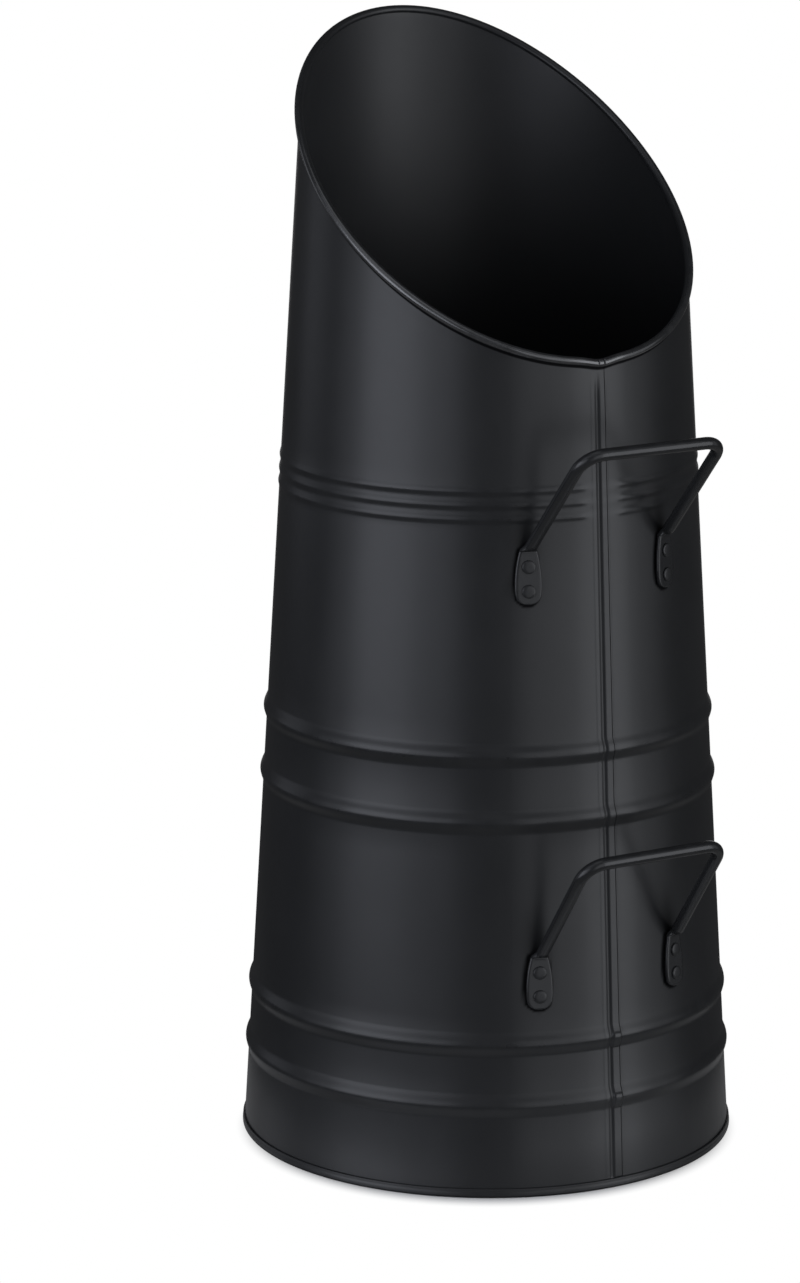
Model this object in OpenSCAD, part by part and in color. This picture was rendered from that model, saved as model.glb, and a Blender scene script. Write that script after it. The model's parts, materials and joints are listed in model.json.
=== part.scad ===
// Coal scuttle: a tapered bucket of black sheet steel with a slanted mouth and two riveted handles.
// Millimetres, +Z up. The origin is the centre of the foot ring on the floor. The locked seam, the
// handles and the low side of the mouth face -Y; the high side, which coal is poured from, faces +Y.

/* [Body] */
// Outside diameter of the wall at the floor
foot_d = 225; // [205:1:245]
// Outside diameter that the wall's taper reaches at full height
top_d = 165; // [150:1:185]
// Overall height, over the high side of the rim
height = 510; // [480:1:560]
// Height from the low side of the mouth up to its high side
mouth_drop = 137.4; // [100:0.1:155]
// Thickness of the wall's sheet
wall_t = 0.7; // [0.5:0.05:0.9]

/* [Rolled beads] */
// Height of the middle of the lower pair of beads
low_pair_z = 55.7; // [50:0.1:60]
// Distance between the crests of the lower pair
low_pair_pitch = 27.8; // [20:0.1:34]
// Height of the middle of the upper pair of beads
mid_pair_z = 184.4; // [165:0.1:210]
// Distance between the crests of the upper pair
mid_pair_pitch = 29.6; // [20:0.1:36]
// Width of one bead of a pair
bead_w = 12; // [9:0.1:14]
// How far a bead of a pair stands out of the wall
bead_h = 1.6; // [0.8:0.1:2.2]
// Height of the middle of the fine beads
fine_z = 309.7; // [303:0.1:316]
// Distance between the crests of the fine beads
fine_pitch = 6.1; // [5.9:0.1:7]
// How many fine beads there are
fine_count = 3; // [1:1:3]
// Width of a fine bead
fine_w = 5.6; // [4:0.1:5.8]
// How far a fine bead stands out of the wall
fine_h = 0.6; // [0.3:0.05:0.8]
// Plain wall between the ends of the fine beads, at the seam
fine_gap = 15; // [9:0.5:25]

/* [Locked seam] */
// Width of the seam's outer strip at the foot
seam_w = 4.3; // [3:0.1:5.5]
// How far the strip stands out of the wall
seam_rise = 0.35; // [0.2:0.05:0.6]
// Width of the folded layers inside the wall, at the foot
fold_w = 6; // [4:0.1:8]
// Thickness of the folded layers, measured in from the wall's inner face
fold_t = 1.4; // [0.6:0.1:2]
// Width of the soft valley left of the strip
valley_w = 1.5; // [0.8:0.1:2]
// Width of the fine crack right of the strip
crack_w = 0.4; // [0.3:0.05:0.8]
// Depth of the valley and of the crack
groove_depth = 0.25; // [0.1:0.05:0.3]
// How far below the strip's upper end the valley and the crack close up
groove_fade = 5; // [2:0.5:12]

// How far the flattened tabs on the lower pair of beads stand out of the strip
tab_rise = 0.45; // [0.2:0.05:0.6]
// Height of a tab
tab_h = 7.4; // [5:0.1:9]
// How far a tab's middle lies below its bead's crest
tab_drop = 1.6; // [0:0.1:2.5]
// How far a tab stays clear of the strip's sides
tab_inset = 0.25; // [0.15:0.05:0.5]

/* [Curled rim] */
// Outside diameter of the curl
curl_d = 3.8; // [3.6:0.1:5]
// How far the curl's centre stands out of the wall's outer face
curl_offset = 0.4; // [0.2:0.05:0.6]
// Diameter of the wire inside the curl
wire_d = 2.2; // [1.4:0.1:2.2]
// Gap between the two ends of the wire, at the seam
wire_gap = 0.5; // [0.3:0.1:1.5]
// How far the rim dips where the sheet is locked together
seam_dip = 1.2; // [0:0.1:1.8]
// Half the length of rim that the dip takes up
dip_reach = 6; // [4:0.5:10]
// Width of the folded block between the curl's two ends
joint_w = 2.2; // [1.5:0.1:3.5]
// Width of the notch at each side of that block
notch_w = 0.45; // [0.3:0.05:0.8]

/* [Bottom] */
// Thickness of the bottom's sheet
base_t = 0.7; // [0.5:0.05:0.9]
// Height of the foot ring
foot_h = 4.5; // [3.5:0.1:6]
// Height of the bottom's underside above the floor
base_lift = 5; // [3.5:0.1:9]
// Radius of the bend from the bottom into its edge, on the underside
base_bend_r = 0.8; // [0.4:0.1:1.5]
// Height of the foot ring's lip, which leans in to the wall
lip_h = 1; // [0.8:0.1:1.5]
// Clearance between the wall's lower edge and the fold that holds it
base_clear = 0.2; // [0.1:0.05:0.3]

/* [Handles] */
// Diameter of the rod
rod_d = 5.5; // [4.5:0.1:7]
// Distance between the centres of the two legs
leg_spacing = 71.2; // [55:0.1:85]
// Radius of the rod's bends, at its centre
bend_r = 9.5; // [6:0.1:14]
// Height of the middle of the upper handle's rivets
upper_z = 277.4; // [250:0.1:282]
// Angle between the upper handle's legs and the vertical
upper_lean_a = 42.1; // [30:0.1:55]
// Length of the upper handle's legs, up to the bar's centre
upper_leg = 62; // [45:0.1:80]
// Height of the middle of the lower handle's rivets
lower_z = 96.8; // [92:0.1:120]
// Angle between the lower handle's legs and the vertical
lower_lean_a = 36.2; // [30:0.1:55]
// Length of the lower handle's legs, up to the bar's centre
lower_leg = 59.2; // [45:0.1:80]

/* [Flattened ends] */
// Greatest width of an end
plate_w = 12.2; // [10:0.1:16]
// Thickness of an end
plate_t = 2; // [1.4:0.1:3]
// Radius of an end's long sides
plate_side_r = 55; // [35:1:70]
// Radius of an end's lower edge
plate_tip_r = 8; // [6.5:0.1:12]
// How far an end reaches below the middle of its rivets
plate_down = 11.4; // [9.5:0.1:14]
// How far an end reaches above the middle of its rivets
plate_up = 12.4; // [10:0.1:15]
// How far above the end the round rod starts
neck_rise = 2.8; // [2:0.1:6]
// How far the rod's centre stands out of the wall there
neck_out = 3.6; // [3.3:0.1:6]
// Clearance between an end and the wall
plate_clear = 0.1; // [0.05:0.05:0.3]

/* [Rivets] */
// Diameter of a rivet's shank
rivet_d = 3; // [2:0.1:3.6]
// Distance between the two rivets of an end
rivet_pitch = 10.8; // [8:0.1:13]
// Diameter of a rivet's head
rivet_head_d = 6; // [5:0.1:6.8]
// Height of a rivet's head
rivet_head_h = 1.1; // [0.8:0.1:1.8]
// Height of the straight edge of a rivet's head
rivet_edge_h = 0.25; // [0.1:0.05:0.5]
// Diameter of the tail, hammered flat inside the wall
rivet_tail_d = 5; // [4.5:0.1:6.5]
// Thickness of the tail
rivet_tail_h = 0.9; // [0.5:0.1:1.4]
// Clearance between a shank and its holes, and between a tail and the wall
rivet_clear = 0.1; // [0.05:0.05:0.15]

/* [Hidden] */
$fn = 96;
COAT = "#2a2b2e";
WIRE = "#8d9094";

// Slope of the wall
taper = (foot_d - top_d) / 2 / height;
wall_lean = atan(taper);

// The curl, and the sine curve that its centre follows round the mouth
curl_r = curl_d / 2;
cavity_r = curl_r - wall_t;
rim_swing = mouth_drop / 2;
rim_mid_z = height - curl_r - rim_swing;
rim_steps = 90;
facet_ease = 0.02;
arc_steps = 12;
corner_steps = 4;
wire_sides = 8;
free_end_a = -95;

// The seam is at the front; the curl's band starts just above the fine beads
front_a = -90;
band_clear = 6;
band_z = fine_z + (fine_count - 1) / 2 * fine_pitch + fine_w / 2 + band_clear;
wall_z = base_t + base_clear;
seam_clear = 0.3;
seam_low_z = foot_h + seam_clear;
seam_lap = 0.07;
groove_run = 1;
groove_trim = 0.06;
fold_run = 1;
fold_low_z = base_lift + base_t + base_bend_r;
seam_top_z = rim_z(front_a) - curl_r - seam_clear;

// Crest heights, and how finely a bead is drawn
bead_zs = [for (pair = [[low_pair_z, low_pair_pitch], [mid_pair_z, mid_pair_pitch]], side = [-1, 1])
    pair[0] + side * pair[1] / 2];
fine_zs = [for (i = [0:fine_count - 1]) fine_z + (i - (fine_count - 1) / 2) * fine_pitch];
bead_steps = 6;
fine_steps = 4;
tab_steps = 6;

// A fine bead's foot lies this far under the face that it rises from
bead_root = 0.05;

// A flattened end is widest this far below the middle of its rivets
plate_belly = plate_down / 4;

// Length of a neck's root in the end and in the rod, and how far it lies under their skin
neck_root = 0.6;
neck_ease = 0.05;

// How far a cutting shape runs past what it cuts
past = 0.5;

NAMES_SIDE = [["left", -1], ["right", 1]];
NAMES_ROW = [["top", 1], ["bottom", -1]];
NAMES_HANDLE = [["upper", upper_z], ["lower", lower_z]];

function rivet_name(h, s, r) = str("rivet_", h[0], "_", s[0], "_", r[0]);

// ---------------------------------------------------------------- the wall's shape

// Radius of the wall's outer face, without beads
function wall_r(z) = foot_d / 2 - taper * z;

// Height of a rounded ridge of width w and height h, at a distance d from its crest
function ridge(d, w, h) = abs(d) < w / 2 ? h * (1 + cos(360 * d / w)) / 2 : 0;

// Radius of the wall's outer face with the paired beads
function beaded_r(z) = wall_r(z) + max([for (c = bead_zs) ridge(z - c, bead_w, bead_h)]);

// Heights from one bead's lower edge to its upper edge
function bead_levels(c, w, n) = [for (i = [-n:n]) c + i * w / 2 / n];

// Every height at which the wall is drawn, from z0 up to z1
function wall_levels(z0, z1) = concat(
    [z0],
    [for (c = bead_zs) each bead_levels(c, bead_w, bead_steps)],
    [z1]
);

// Section of the wall between an inner and an outer offset from its outer face
function wall_section(z0, z1, inner, outer) = let (zs = wall_levels(z0, z1)) concat(
    [for (z = zs) [beaded_r(z) + outer, z]],
    [for (i = [len(zs) - 1:-1:0]) [beaded_r(zs[i]) + inner, zs[i]]]
);

// Angle round the wall that a width takes up at the foot
function foot_angle(w) = 2 * asin(w / foot_d);

// Part of the wall's section, turned between two angles that are counted from the front
module wall_sector(from_a, to_a, z0, z1, inner, outer) {
    rotate([0, 0, front_a + from_a])
        rotate_extrude(angle = to_a - from_a)
            polygon(wall_section(z0, z1, inner, outer));
}

// The fine beads on one face of the wall, backed up to another offset; they stop short of the seam
module fine_beads(face, backing) {
    for (c = fine_zs) {
        gap_a = asin(fine_gap / 2 / wall_r(c));
        zs = bead_levels(c, fine_w, fine_steps);
        crest = [for (z = zs) [wall_r(z) + face - bead_root + ridge(z - c, fine_w, fine_h + bead_root), z]];
        back = [for (i = [len(zs) - 1:-1:0]) [wall_r(zs[i]) + backing, zs[i]]];
        rotate([0, 0, front_a + gap_a])
            rotate_extrude(angle = 360 - 2 * gap_a)
                polygon(concat(crest, back));
    }
}

// Moves a shape onto the wall: x runs along the wall, y up it and z out of it
module on_wall(azimuth, z) {
    rotate([0, 0, azimuth])
        translate([0, -wall_r(z), z])
            rotate([90 - wall_lean, 0, 0])
                children();
}

// ---------------------------------------------------------------- the rim

// Height of the curl's centre at an angle round the mouth, with the dip at the seam
function rim_z(a) = rim_mid_z + rim_swing * sin(a)
    - seam_dip * exp(-pow((a - front_a) * PI / 180 * top_d / 2 / dip_reach, 2));

// A round section would look squeezed where the rim climbs, so it is drawn this much taller
function climb(a) = norm([1, rim_swing * cos(a) / wall_r(rim_z(a))]);

// The band's flat facets are drawn round the true circle, so that they nowhere dip into the wall
function facet_r(r) = (r + facet_ease) / cos(180 / rim_steps);

// Point of the rim's section at angle a, offset from the curl's centre outwards and upwards
function rim_point(a, out, up) = let (z = rim_z(a), r = facet_r(wall_r(z) + curl_offset + out))
    [r * cos(a), r * sin(a), z + up * climb(a)];

// Point of the wall's outer or inner face, in the same section
function wall_point(a, inset, z) = let (r = facet_r(wall_r(z) - inset)) [r * cos(a), r * sin(a), z];

// Section of the sheet above the fine beads: up the wall, round the wire and back
function curl_section(a) = let (
    inside_a = 360 - acos(-curl_offset / cavity_r),
    outside_a = 360 - acos(-(curl_offset + wall_t) / curl_r),
    outer_z = rim_z(a) + cavity_r * sin(inside_a) * climb(a),
    inner_z = rim_z(a) + curl_r * sin(outside_a) * climb(a)
) concat(
    [wall_point(a, 0, band_z), wall_point(a, 0, outer_z)],
    [for (k = [1:arc_steps]) let (t = inside_a + (free_end_a - inside_a) * k / arc_steps)
        rim_point(a, cavity_r * cos(t), cavity_r * sin(t))],
    [for (k = [0:arc_steps - 1]) let (t = free_end_a + (outside_a - free_end_a) * k / arc_steps)
        rim_point(a, curl_r * cos(t), curl_r * sin(t))],
    [wall_point(a, wall_t, inner_z), wall_point(a, wall_t, band_z)]
);

// Section of the wire
function wire_section(a) = [for (k = [0:wire_sides - 1]) let (t = 360 * k / wire_sides)
    rim_point(a, wire_d / 2 * cos(t), wire_d / 2 * sin(t))];

// Skin through a list of sections that all have the same number of points
module loft(sections, closed) {
    m = len(sections[0]);
    n = len(sections);
    last = closed ? n - 1 : n - 2;
    sides = [for (i = [0:last], j = [0:m - 1]) let (i2 = (i + 1) % n, j2 = (j + 1) % m)
        each [[i * m + j, i * m + j2, i2 * m + j2], [i * m + j, i2 * m + j2, i2 * m + j]]];
    ends = closed ? [] : [[for (j = [m - 1:-1:0]) j], [for (j = [0:m - 1]) (n - 1) * m + j]];
    polyhedron(points = [for (s = sections) each s], faces = concat(sides, ends));
}

module curled_band() {
    loft([for (i = [0:rim_steps - 1]) curl_section(front_a + 360 * i / rim_steps)], closed = true);
}

// The two notches in the curl beside the folded block at the seam
module rim_notches() {
    r = wall_r(rim_z(front_a)) + curl_offset;
    for (side = [-1, 1])
        translate([side * (joint_w + notch_w) / 2, -r - curl_r / 2, rim_z(front_a)])
            cube([notch_w, curl_r + past, curl_d + past], center = true);
}

// ---------------------------------------------------------------- the seam

// Outer strip and inner folds of the locked seam
module seam_layers() {
    strip_a = foot_angle(seam_w) / 2;
    fold_a = foot_angle(fold_w) / 2;
    wall_sector(-strip_a, strip_a, seam_low_z, seam_top_z, -wall_t / 2 - seam_lap, seam_rise);
    wall_sector(-fold_a, fold_a, fold_low_z, seam_top_z - fold_run, -wall_t - fold_t, seam_lap - wall_t / 2);
}

// Flattened tabs where the strip crosses the lower pair of beads
module seam_tabs() {
    tab_a = foot_angle(seam_w) / 2 - foot_angle(tab_inset);
    for (bead = [0, 1]) {
        middle = bead_zs[bead] - tab_drop;
        zs = [for (k = [0:tab_steps]) middle + tab_h * (k / tab_steps - 1 / 2)];
        rotate([0, 0, front_a - tab_a])
            rotate_extrude(angle = 2 * tab_a)
                polygon(concat(
                    [for (z = zs) [beaded_r(z) + seam_rise + tab_rise, z]],
                    [for (k = [tab_steps:-1:0]) [beaded_r(zs[k]), zs[k]]]
                ));
    }
}

// The valley left of the strip and the crack right of it, which both trim the strip's side a little
module seam_grooves() {
    strip_a = foot_angle(seam_w - groove_trim) / 2;
    for (groove = [[-strip_a - foot_angle(valley_w), -strip_a], [strip_a, strip_a + foot_angle(crack_w)]])
        wall_sector(groove[0], groove[1],
            seam_low_z - groove_run, seam_top_z - groove_fade, -groove_depth, past);
}

// ---------------------------------------------------------------- handles and rivets

// Turn from the front to a leg's end, on the wall at height z
function leg_azimuth(z) = asin(leg_spacing / 2 / (wall_r(z) + plate_clear + plate_t / 2));

// Places its children at each of the four ends of the handles
module at_ends() {
    for (h = NAMES_HANDLE, s = NAMES_SIDE)
        on_wall(s[1] * leg_azimuth(h[1]), h[1])
            children();
}

// Outline of a flattened end: two long curved sides, a round tip and a straight top
module plate_outline() {
    intersection() {
        side_arcs();
        translate([0, plate_tip_r - plate_down])
            union() {
                circle(r = plate_tip_r);
                translate([-plate_tip_r, 0])
                    square([2 * plate_tip_r, plate_up + plate_down - plate_tip_r]);
            }
    }
}

module side_arcs() {
    intersection_for (side = [-1, 1])
        translate([side * (plate_side_r - plate_w / 2), -plate_belly])
            circle(r = plate_side_r);
}

module rivet_holes() {
    for (row = [-1, 1])
        translate([0, row * rivet_pitch / 2])
            circle(d = rivet_d + 2 * rivet_clear);
}

module flattened_end() {
    translate([0, 0, plate_clear])
        linear_extrude(plate_t)
            difference() {
                plate_outline();
                rivet_holes();
            }
}

// Half the width of a flattened end at its top
function plate_neck() = sqrt(pow(plate_side_r, 2) - pow(plate_up + plate_belly, 2))
    - plate_side_r + plate_w / 2;

// A rod in the x-z plane: two legs that rise from z = 0 and a bar across them
module bent_rod(leg) {
    half = leg_spacing / 2;
    for (side = [-1, 1]) {
        translate([side * half, 0, 0])
            cylinder(d = rod_d, h = leg - bend_r);
        translate([side * (half - bend_r), 0, leg - bend_r])
            rotate([90, 0, 0])
                rotate([0, 0, side > 0 ? 0 : 90])
                    rotate_extrude(angle = 90)
                        translate([bend_r, 0])
                            circle(d = rod_d);
    }
    translate([bend_r - half, 0, leg])
        rotate([0, 90, 0])
            cylinder(d = rod_d, h = leg_spacing - 2 * bend_r);
}

// Where a leg's round rod starts, right of the middle
function leg_start(z) = [
    leg_spacing / 2,
    -wall_r(z) * cos(leg_azimuth(z)) - neck_out,
    z + plate_up + neck_rise
];

// The stretch between a flattened end and its round rod, rooted just under the skin of both
module neck(side, z, lean) {
    start = leg_start(z);
    root = neck_ease * [1, 1, 1];
    hull() {
        on_wall(side * leg_azimuth(z), z)
            translate([-plate_neck(), plate_up - neck_root, plate_clear] + root)
                cube([2 * plate_neck(), neck_root, plate_t] - 2 * root);
        translate([side * start[0], start[1], start[2]])
            rotate([lean, 0, 0])
                translate([0, 0, neck_ease - neck_root])
                    cylinder(d = rod_d - 2 * neck_ease, h = neck_root, $fn = 32);
    }
}

module handle(z, lean, leg) {
    start = leg_start(z);
    translate([0, start[1], start[2]])
        rotate([lean, 0, 0])
            bent_rod(leg);
    for (side = [-1, 1]) {
        neck(side, z, lean);
        on_wall(side * leg_azimuth(z), z)
            flattened_end();
    }
}

// ---------------------------------------------------------------- the pieces

// The rolled sheet with its beads and its curl, before it is locked to itself at the seam
module rolled_sheet() {
    difference() {
        union() {
            rotate_extrude()
                polygon(wall_section(wall_z, band_z, -wall_t, 0));
            curled_band();
            fine_beads(0, -wall_t / 2);
        }
        fine_beads(-wall_t, -wall_t - past);
    }
}

module body_shell() {
    color(COAT)
        difference() {
            union() {
                rolled_sheet();
                seam_layers();
                seam_tabs();
            }
            seam_grooves();
            rim_notches();
            at_ends()
                translate([0, 0, -wall_t - past])
                    linear_extrude(wall_t + 2 * past)
                        rivet_holes();
        }
}

// Points along an arc of radius r round a centre
function arc_points(centre, r, from_a, to_a) = [for (k = [0:corner_steps])
    let (t = from_a + (to_a - from_a) * k / corner_steps) centre + r * [cos(t), sin(t)]];

// Outer face of the bottom's edge, just inside the wall
function base_r(z) = wall_r(z) - wall_t - base_clear;

// A flat disc whose edge goes down inside the wall, under it and up outside it
module base_disc() {
    ring_r = wall_r(0) + base_clear + base_t;
    bend = [base_r(base_lift) - base_t - base_bend_r, base_lift - base_bend_r];
    color(COAT)
        rotate_extrude()
            polygon(concat(
                [[0, base_lift]],
                arc_points(bend, base_bend_r, 90, 0),
                arc_points([base_r(0), base_t], base_t, 180, 270),
                arc_points([ring_r - base_t, base_t], base_t, 270, 360),
                arc_points([ring_r - base_t, foot_h - base_t], base_t, 0, 90),
                [[wall_r(foot_h) + base_clear, foot_h], [ring_r - base_t, foot_h - lip_h]],
                [[ring_r - base_t, base_t], [base_r(0), base_t]],
                arc_points(bend, base_bend_r + base_t, 0, 90),
                [[0, base_lift + base_t]]
            ));
}

module rim_wire() {
    half_gap = asin(wire_gap / top_d);
    turn = 360 - 2 * half_gap;
    color(WIRE)
        loft([for (i = [0:rim_steps]) wire_section(front_a + half_gap + turn * i / rim_steps)], closed = false);
}

module upper_handle() {
    color(COAT) handle(upper_z, upper_lean_a, upper_leg);
}

module lower_handle() {
    color(COAT) handle(lower_z, lower_lean_a, lower_leg);
}

// A domed head on the flattened end, a shank through end and wall, and a flat tail inside
module rivet(h, s, r) {
    head_r = rivet_head_d / 2;
    dome_h = rivet_head_h - rivet_edge_h;
    dome_r = (pow(head_r, 2) + pow(dome_h, 2)) / (2 * dome_h);
    head_z = plate_clear + plate_t;
    tail_z = -wall_t - rivet_clear;
    color(COAT)
        on_wall(s[1] * leg_azimuth(h[1]), h[1])
            translate([0, r[1] * rivet_pitch / 2, 0]) {
                translate([0, 0, tail_z - rivet_tail_h])
                    cylinder(d = rivet_tail_d, h = rivet_tail_h);
                translate([0, 0, tail_z])
                    cylinder(d = rivet_d, h = head_z - tail_z);
                translate([0, 0, head_z])
                    intersection() {
                        cylinder(r = head_r, h = rivet_head_h);
                        translate([0, 0, rivet_head_h - dome_r])
                            sphere(r = dome_r);
                    }
            }
}

body_shell();
base_disc();
rim_wire();
upper_handle();
lower_handle();
for (h = NAMES_HANDLE, s = NAMES_SIDE, r = NAMES_ROW)
    rivet(h, s, r);
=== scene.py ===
"""Looks of the coal scuttle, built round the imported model.

The scuttle is a tapered bucket of black powder-coated sheet steel. It has a slanted mouth with a
curled edge, rolled beads, a locked seam down the front and two rod handles on that side. Sizes in
the classes are in millimetres. They become metres when a mesh is made. Angles round the bucket are
counted in radians from the seam, which faces -Y, and grow towards +X.
"""

import json
import logging
import math
from dataclasses import dataclass, field
from enum import Enum
from itertools import product
from typing import Any, Iterable, Sequence

import bmesh
import bpy
import numpy as np
from mathutils import Matrix, Vector

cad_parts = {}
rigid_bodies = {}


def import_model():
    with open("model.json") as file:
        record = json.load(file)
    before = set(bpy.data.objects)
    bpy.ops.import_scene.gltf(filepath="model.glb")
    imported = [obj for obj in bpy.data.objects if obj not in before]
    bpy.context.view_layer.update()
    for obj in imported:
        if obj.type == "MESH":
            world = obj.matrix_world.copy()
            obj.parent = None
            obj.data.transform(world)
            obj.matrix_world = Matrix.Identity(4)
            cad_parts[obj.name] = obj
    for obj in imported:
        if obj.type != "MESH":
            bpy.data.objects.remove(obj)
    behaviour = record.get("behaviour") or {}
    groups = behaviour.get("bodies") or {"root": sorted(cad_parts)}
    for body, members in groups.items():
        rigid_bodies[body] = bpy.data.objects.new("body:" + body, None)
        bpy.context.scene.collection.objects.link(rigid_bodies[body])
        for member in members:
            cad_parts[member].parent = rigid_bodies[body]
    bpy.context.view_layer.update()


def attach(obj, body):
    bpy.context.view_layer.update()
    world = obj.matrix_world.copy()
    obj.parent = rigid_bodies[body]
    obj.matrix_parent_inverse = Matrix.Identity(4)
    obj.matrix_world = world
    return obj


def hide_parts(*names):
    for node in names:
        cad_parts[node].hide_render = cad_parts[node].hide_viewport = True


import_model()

Pair = tuple[float, float]
Triple = tuple[float, float, float]
Colour = tuple[float, float, float, float]

MM = 0.001
FRONT = -math.pi / 2
COOL = (0.866, 0.90, 1.0)
MILD = (0.923, 0.947, 1.0)
WHITE = (1, 1, 1, 1)
LOG = logging.getLogger("coal_scuttle")


# ------------------------------------------------------------------ node building


class Socket:
    """An output socket that takes part in arithmetic: each operation adds one Math node."""

    def __init__(self, kit: "NodeKit", link: Any) -> None:
        """Wraps one output socket of the tree that kit fills."""
        self.kit = kit
        self.link = link

    def math(self, operation: str, *others: Any) -> "Socket":
        """A Math operation on this value and up to two more sockets or numbers."""
        return self.kit.maths(operation, self, *others)

    def __add__(self, other: Any) -> "Socket":
        """self + other"""
        return self.math("ADD", other)

    def __radd__(self, other: Any) -> "Socket":
        """other + self"""
        return self.kit.maths("ADD", other, self)

    def __sub__(self, other: Any) -> "Socket":
        """self - other"""
        return self.math("SUBTRACT", other)

    def __rsub__(self, other: Any) -> "Socket":
        """other - self"""
        return self.kit.maths("SUBTRACT", other, self)

    def __mul__(self, other: Any) -> "Socket":
        """self * other"""
        return self.math("MULTIPLY", other)

    def __rmul__(self, other: Any) -> "Socket":
        """other * self"""
        return self.kit.maths("MULTIPLY", other, self)

    def __truediv__(self, other: Any) -> "Socket":
        """self / other"""
        return self.math("DIVIDE", other)

    def __pow__(self, other: Any) -> "Socket":
        """self ** other"""
        return self.math("POWER", other)

    def rise(self, low: float, high: float) -> "Socket":
        """A smooth step from 0 at low to 1 at high.

        Args:
            low: Value at which the step starts.
            high: Value at which it ends.

        Returns:
            The step as a new socket.
        """
        settings = {"interpolation_type": "SMOOTHSTEP"}
        values = {"Value": self, "From Min": low, "From Max": high}
        return self.kit.add("ShaderNodeMapRange", settings, values, "Result")


class NodeKit:
    """Adds nodes to one tree, whether it is of a material, of the world or of geometry."""

    def __init__(self, tree: Any) -> None:
        """Starts on the node tree to fill."""
        self.tree = tree

    @classmethod
    def emptied(cls, owner: Any) -> "NodeKit":
        """Clears the tree of a material or of the world.

        Args:
            owner: The material or world.

        Returns:
            A builder on its empty tree.
        """
        owner.use_nodes = True
        owner.node_tree.nodes.clear()
        return cls(owner.node_tree)

    def node(
        self, kind: str, settings: dict[str, Any] | None = None, values: dict[Any, Any] | None = None
    ) -> Any:
        """Adds a node, sets it up and connects it.

        Args:
            kind: The node's type.
            settings: Properties of the node itself, which are set first.
            values: For each input's name or number, a number, colour or socket.

        Returns:
            The new node.
        """
        made = self.tree.nodes.new(kind)
        for name, value in (settings or {}).items():
            setattr(made, name, value)
        for key, value in (values or {}).items():
            target = made.inputs[key]
            if isinstance(value, Socket):
                self.tree.links.new(value.link, target)
            else:
                target.default_value = value
        return made

    def add(
        self,
        kind: str,
        settings: dict[str, Any] | None = None,
        values: dict[Any, Any] | None = None,
        out: Any = 0,
    ) -> Socket:
        """Adds a node, as above, and gives one of its outputs, by name or number."""
        return Socket(self, self.node(kind, settings, values).outputs[out])

    def maths(self, operation: str, *terms: Any) -> Socket:
        """Adds a Math node on up to three sockets or numbers."""
        return self.add("ShaderNodeMath", {"operation": operation}, dict(enumerate(terms)))

    def mix(self, factor: Any, first: Any, second: Any) -> Socket:
        """Mixes two colours or sockets: 0 shows the first, 1 the second."""
        settings = {"data_type": "RGBA"}
        return self.add("ShaderNodeMix", settings, {0: factor, 6: first, 7: second}, 2)

    def blend(self, factor: Any, first: Socket, second: Socket) -> Socket:
        """Mixes two shaders: 0 shows the first, 1 the second."""
        return self.add("ShaderNodeMixShader", None, {0: factor, 1: first, 2: second})

    def attribute(self, name: str) -> Socket:
        """Value of a mesh's attribute."""
        return self.add("ShaderNodeAttribute", {"attribute_name": name}, None, "Fac")

    def end(self, kind: str, surface: Socket) -> None:
        """Ends the tree of a Material or of the World."""
        self.node(f"ShaderNodeOutput{kind}", None, {"Surface": surface})


# ------------------------------------------------------------------ finishes


class Relief(Enum):
    """How coarse a coat's surface is: the width of its grain in millimetres."""

    ORANGE_PEEL = 1.1
    DRAWN = 0.35


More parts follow.
